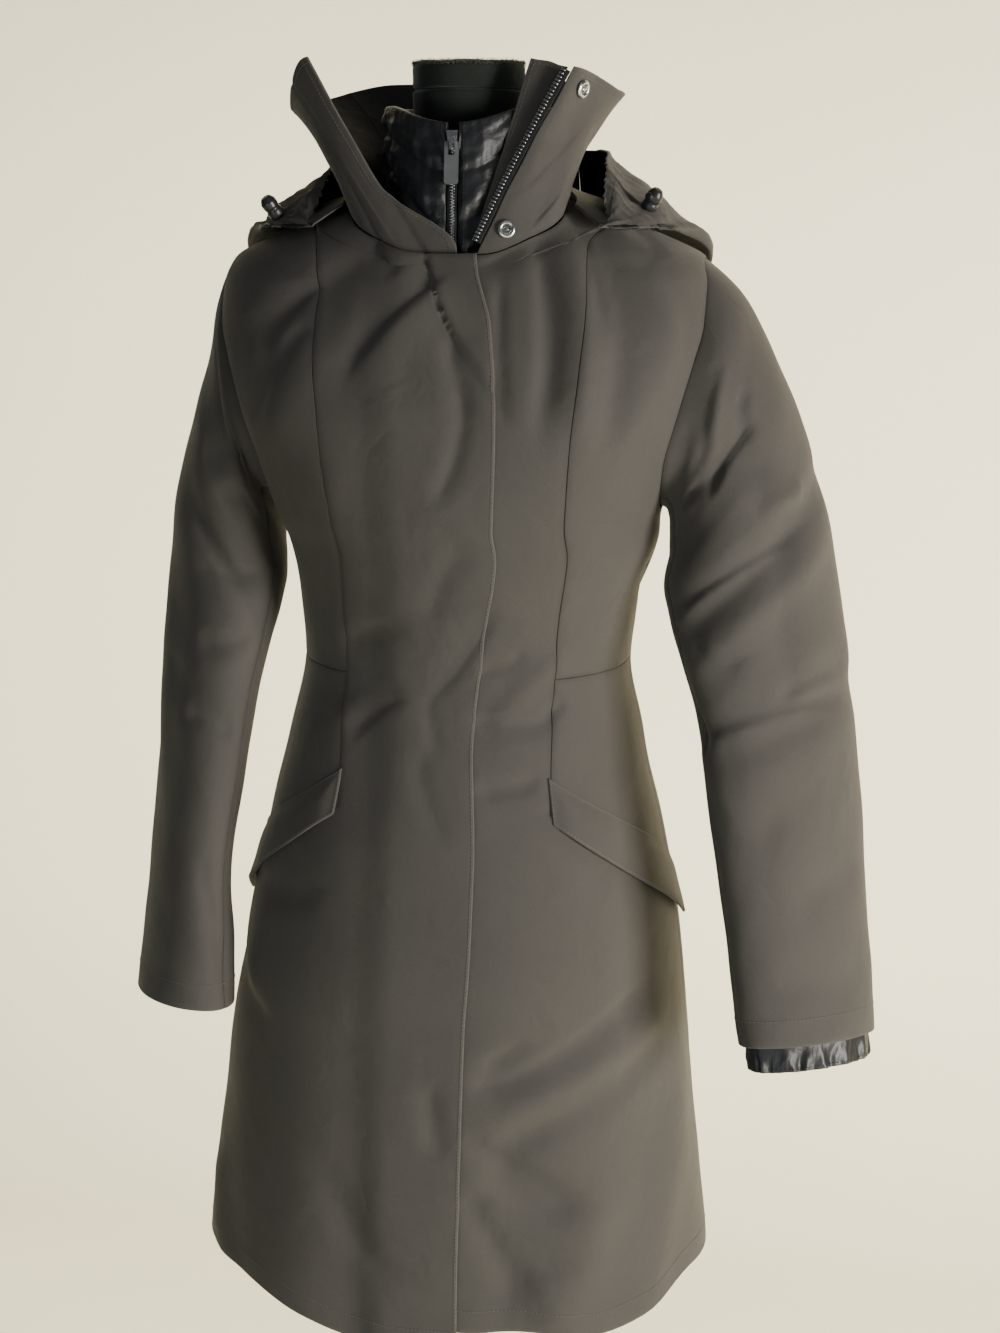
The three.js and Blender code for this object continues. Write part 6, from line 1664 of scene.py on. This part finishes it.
class PARKA_OT_form(bpy.types.Operator):
    """Builds the dress form's covered torso and its flat-topped neck block"""
    bl_idname = "parka.form"
    bl_label = "Dress form"

    def execute(self, context):
        self.torso()
        self.neck()
        return {"FINISHED"}

    def torso(self):
        """A closed skin of rings, each end closed by a smaller ring and a fan."""
        segments, top = 144, NECK_BASE + SEAM
        angle = np.linspace(-180, 180, segments, endpoint=False)[None, :]
        levels = np.concatenate([np.linspace(FORM_BOTTOM, 1.39, 120), np.linspace(1.392, NECK_BASE, 40)])
        levels = levels[:, None]
        wall = form_point(angle + 0 * levels, levels + 0 * angle)
        foot = 0.93 + 0.07 * smooth((levels - FORM_BOTTOM) / 0.03)[..., None]
        wall = wall * np.concatenate([foot, foot, np.ones_like(foot)], -1)
        wall[0, :, 2], wall[-1, :, 2] = FORM_BOTTOM, top
        middle = np.array([[0, 0, FORM_BOTTOM], [0, 0, top]])
        ends = 0.5 * wall[[0, -1]] + 0.5 * middle[:, None]
        points = np.concatenate([wall.reshape(-1, 3), ends.reshape(-1, 3), middle])
        grid = np.arange(wall.shape[0] * segments).reshape(-1, segments)
        low = np.arange(segments) + grid.size
        high = low + segments
        rings = np.concatenate([low[None], grid, high[None]])
        faces = quads(np.concatenate([rings, rings[:, :1]], 1)).tolist()
        for ring, centre in ((low[::-1], grid.size + 2 * segments), (high, grid.size + 2 * segments + 1)):
            faces += np.stack([ring, np.roll(ring, -1), np.full(segments, centre)], -1).tolist()
        mesh = bpy.data.meshes.new("form_torso_cover")
        mesh.from_pydata(points.tolist(), [], faces)
        dress_mesh(mesh, points[:, [0, 2]])
        work = bmesh.new()
        work.from_mesh(mesh)
        bmesh.ops.recalc_face_normals(work, faces=work.faces[:])
        work.to_mesh(mesh)
        work.free()
        place("form_torso_cover", mesh, ["Form velvet"], ["form_torso"])

    def neck(self):
        """A flat-topped block: its band stands on a groove, and its cut top edge is fuzzy."""
        r, foot, top = NECK_RADIUS, NECK_BASE + 2 * SEAM, NECK_TOP
        band = top - NECK_BAND
        profile = rounded([
            (0.0, foot), (r + 0.001, foot), (r + 0.0004, foot + 0.05), (r, band - 0.0016),
            (r - 0.0022, band - 0.0004), (r - 0.0022, band + 0.0006), (r + 0.0002, band + 0.002),
            (r + 0.0002, top - 0.004), (r - 0.003, top), (r * 0.5, top + 0.0004), (0.0, top + 0.0004)],
            0.0022, 6)
        fine = [profile[0]]
        for here, after in zip(profile, profile[1:]):
            count = max(1, round(math.dist(here, after) / 0.004))
            fine += [tuple(mix(np.array(here), np.array(after), k / count)) for k in range(1, count + 1)]
        points, faces = lathe(fine, 0.0, 120)
        turn = np.arctan2(points[:, 1], points[:, 0])
        x, y, z = points.T
        side_bumps = uneven("neck_side", turn * r, z) * smooth(np.hypot(x, y) / r)
        points = points + unit(points * LEVEL) * side_bumps[:, None]
        x, y, z = points.T
        points[:, 2] += uneven("neck_top", x, y) * smooth((z - band) / 0.02)
        mesh = new_mesh("neck_block_cover", points, faces, np.stack([turn * r, points[:, 2]], -1))
        place("neck_block_cover", mesh, ["Form velvet"], ["neck_block"])
        self.fuzz(top, r)

    def fuzz(self, top, r):
        """Loose fibres, each a small spike, along the block's cut edge."""
        chance = np.random.default_rng(7)
        count = 2600
        around = chance.uniform(0, 2 * np.pi, count)
        reach = r - chance.uniform(0.0, 0.0035, count)
        rise = chance.uniform(-0.0035, 0.0004, count)
        places = np.stack([reach * np.cos(around), reach * np.sin(around), top + rise - 0.0006], -1)
        out = np.stack([np.cos(around), np.sin(around), chance.uniform(0.2, 1.8, count)], -1)
        out = unit(out + chance.normal(0, 0.45, (count, 3)))
        side = unit(np.cross(out, np.array([0.3, 0.2, 1.0])))
        spike = np.array([[-0.5, -0.5, 0], [0.5, -0.5, 0], [0, 0.6, 0], [0.25, 0.3, 1.0]])
        ends = np.array([[0, 2, 1], [0, 1, 3], [1, 2, 3], [2, 0, 3]])
        fibres = copies((spike, ends), places, side, np.cross(out, side), out, (0.0003, 0.0003, 0.0026))
        add_shape("neck_block_fuzz", [fibres], "Loose fibres")


class PARKA_OT_stand(bpy.types.Operator):
    """Builds the form's pole and round base"""
    bl_idname = "parka.stand"
    bl_label = "Pole and base"

    def execute(self, context):
        r, low, high = POLE_RADIUS, BASE_HEIGHT + SEAM, FORM_BOTTOM - SEAM
        pole = lathe([
            (0.0, low), (r + 0.014, low), (r + 0.014, low + 0.008), (r + 0.004, low + 0.018),
            (r, low + 0.028), (r, 0.40), (r + 0.0004, 0.402), (r + 0.0004, 0.424), (r, 0.426), (r, high),
            (0.0, high)], 0.003, 64)
        add_shape("stand_pole_tube", [pole], "Polished pole", ["stand_pole"])
        big, tall = BASE_RADIUS, BASE_HEIGHT
        disc = lathe([
            (0.0, 0.0), (big - 0.001, 0.0), (big, 0.001), (big, tall - 0.006), (big - 0.006, tall),
            (big * 0.6, tall), (0.03, tall), (0.0, tall)], 0.005, 160)
        add_shape("stand_base_disc", [disc], "Satin black base", ["stand_base"])
        return {"FINISHED"}


class PARKA_OT_stage(bpy.types.Operator):
    """Sets the camera, the pale wall and floor, and soft studio light"""
    bl_idname = "parka.stage"
    bl_label = "Camera, floor and light"

    def add(self, context, name, data):
        made = bpy.data.objects.new(name, data)
        context.scene.collection.objects.link(made)
        return made

    def camera(self, context):
        data = bpy.data.cameras.new("camera")
        data.sensor_fit = "VERTICAL"
        data.sensor_height = 36
        data.lens = PHOTO["focal"] / PHOTO["tall"] * 36
        camera = self.add(context, "camera", data)
        turn = math.radians(PHOTO["turn"])
        away, aside = PHOTO["away"], PHOTO["aside"]
        camera.location = (
            away * math.sin(turn) + aside * math.cos(turn), -away * math.cos(turn) + aside * math.sin(turn),
            PHOTO["height"])
        camera.rotation_euler = (math.radians(90 - PHOTO["down"]), 0, turn)
        context.scene.camera = camera

    def sweep(self, context):
        """A wall that curves into the floor behind the stand, and is clear when seen from its back."""
        wall, floor, reach, radius = 1.15, -0.0005, 3.4, 0.35
        outline = [(-reach, floor), (wall - radius, floor)]
        for k in range(1, 17):
            turn = math.pi / 2 * k / 16
            outline.append((wall - radius + radius * math.sin(turn), floor + radius * (1 - math.cos(turn))))
        outline.append((wall, 3.2))
        outline = np.array(outline)
        wide, y = np.meshgrid(np.linspace(-3.2, 3.2, 41), outline[:, 0])
        points = np.stack([wide, y, outline[:, 1:] + 0 * wide], -1).reshape(-1, 3)
        mesh = bpy.data.meshes.new("studio_sweep")
        mesh.from_pydata(points.tolist(), [], quads(np.arange(len(points)).reshape(y.shape)).tolist())
        mesh.polygons.foreach_set("use_smooth", np.ones(len(mesh.polygons), bool))

        def paint(tree):
            wear = add_group(tree, wear_and_shade_group(), Patch_size=1.3, Fleck_size=400.0)
            tone = mottled(tree, wear, context.scene.parka_stage.wall, 0.02)
            return {"Base Color": tone, "Normal": bump(tree, wear[1], 0.0002, Strength=0.6)}

        matte = finish("Matte wall paint", paint, Roughness=0.85, Specular_IOR_Level=0.2)
        tree = matte.node_tree
        behind = shader(tree, "ShaderNodeNewGeometry").outputs["Backfacing"]
        clear = shader(tree, "ShaderNodeBsdfTransparent").outputs[0]
        painted = tree.nodes["Principled BSDF"].outputs[0]
        seen = shader(tree, "ShaderNodeMixShader", _0=behind, _1=painted, _2=clear)
        tree.links.new(seen.outputs[0], tree.nodes["Material Output"].inputs["Surface"])
        mesh.materials.append(matte)
        self.add(context, "studio_sweep", mesh)

    def light(self, context, name, power, colour, size, place_at, toward):
        data = bpy.data.lights.new(name, "AREA")
        data.shape = "RECTANGLE"
        data.size, data.size_y = size
        data.energy = power
        data.color = colour
        lamp = self.add(context, name, data)
        lamp.location = place_at
        lamp.rotation_euler = (Vector(toward) - Vector(place_at)).to_track_quat("-Z", "Y").to_euler()
        lamp.visible_camera = False

    def execute(self, context):
        self.camera(context)
        self.sweep(context)
        stage = context.scene.parka_stage
        white = (1.0, 0.97, 0.92)
        for row in (
            ("key", stage.key, (1.0, 0.96, 0.88), (0.9, 1.2), (2.5, -1.4, 1.0), (0.0, 0.0, 0.85)),
            ("fill", stage.fill, (0.80, 0.93, 1.0), (1.4, 0.8), (-0.5, -2.4, 0.25), (0, 0, 0.5)),
            ("top", 2.0, white, (1.6, 1.6), (0.6, -1.2, 2.8), (0, 0, 1.3)),
            ("back", 9.0, white, (1.6, 1.0), (-1.0, 2.2, 2.4), (0, 0, 0.9)),
            ("wall", 62.0, (1.0, 0.94, 0.80), (3.6, 2.3), (0.3, 0.5, 0.8), (0.3, 1.15, 0.8)),
        ):
            self.light(context, *row)
        world = bpy.data.worlds.new("soft_room")
        world.use_nodes = True
        sky = world.node_tree.nodes["Background"].inputs
        sky[0].default_value = (0.86, 0.90, 0.93, 1.0)
        sky[1].default_value = 0.10
        context.scene.world = world
        return {"FINISHED"}


OPERATORS = (
    PARKA_OT_stage, PARKA_OT_body, PARKA_OT_pockets, PARKA_OT_sleeves, PARKA_OT_cuff, PARKA_OT_collar,
    PARKA_OT_main_zip, PARKA_OT_snaps, PARKA_OT_hood, PARKA_OT_cord_locks, PARKA_OT_liner, PARKA_OT_hardware,
    PARKA_OT_form, PARKA_OT_stand,
)


class PARKA_PT_panel(bpy.types.Panel):
    """Lists the parka's sizes, colours and pieces"""
    bl_idname = "PARKA_PT_panel"
    bl_label = "Parka"
    bl_space_type = "VIEW_3D"
    bl_region_type = "UI"
    bl_category = "Parka"

    def draw(self, context):
        for name in GROUPS:
            group = getattr(context.scene, name)
            box = self.layout.box()
            for value in group.__annotations__:
                box.prop(group, value)
        for operator in OPERATORS:
            self.layout.operator(operator.bl_idname)


GROUPS = {"parka_cloth": ParkaCloth, "parka_colours": ParkaColours, "parka_stage": ParkaStage}
CLASSES = (*GROUPS.values(), *OPERATORS, PARKA_PT_panel)


def register():
    for each in CLASSES:
        bpy.utils.register_class(each)
    for name, group in GROUPS.items():
        setattr(bpy.types.Scene, name, PointerProperty(type=group))


def unregister():
    for name in GROUPS:
        delattr(bpy.types.Scene, name)
    for each in reversed(CLASSES):
        bpy.utils.unregister_class(each)


def main():
    register()
    for operator in OPERATORS:
        getattr(bpy.ops.parka, operator.bl_idname.split(".")[1])()


if __name__ == "__main__":
    main()
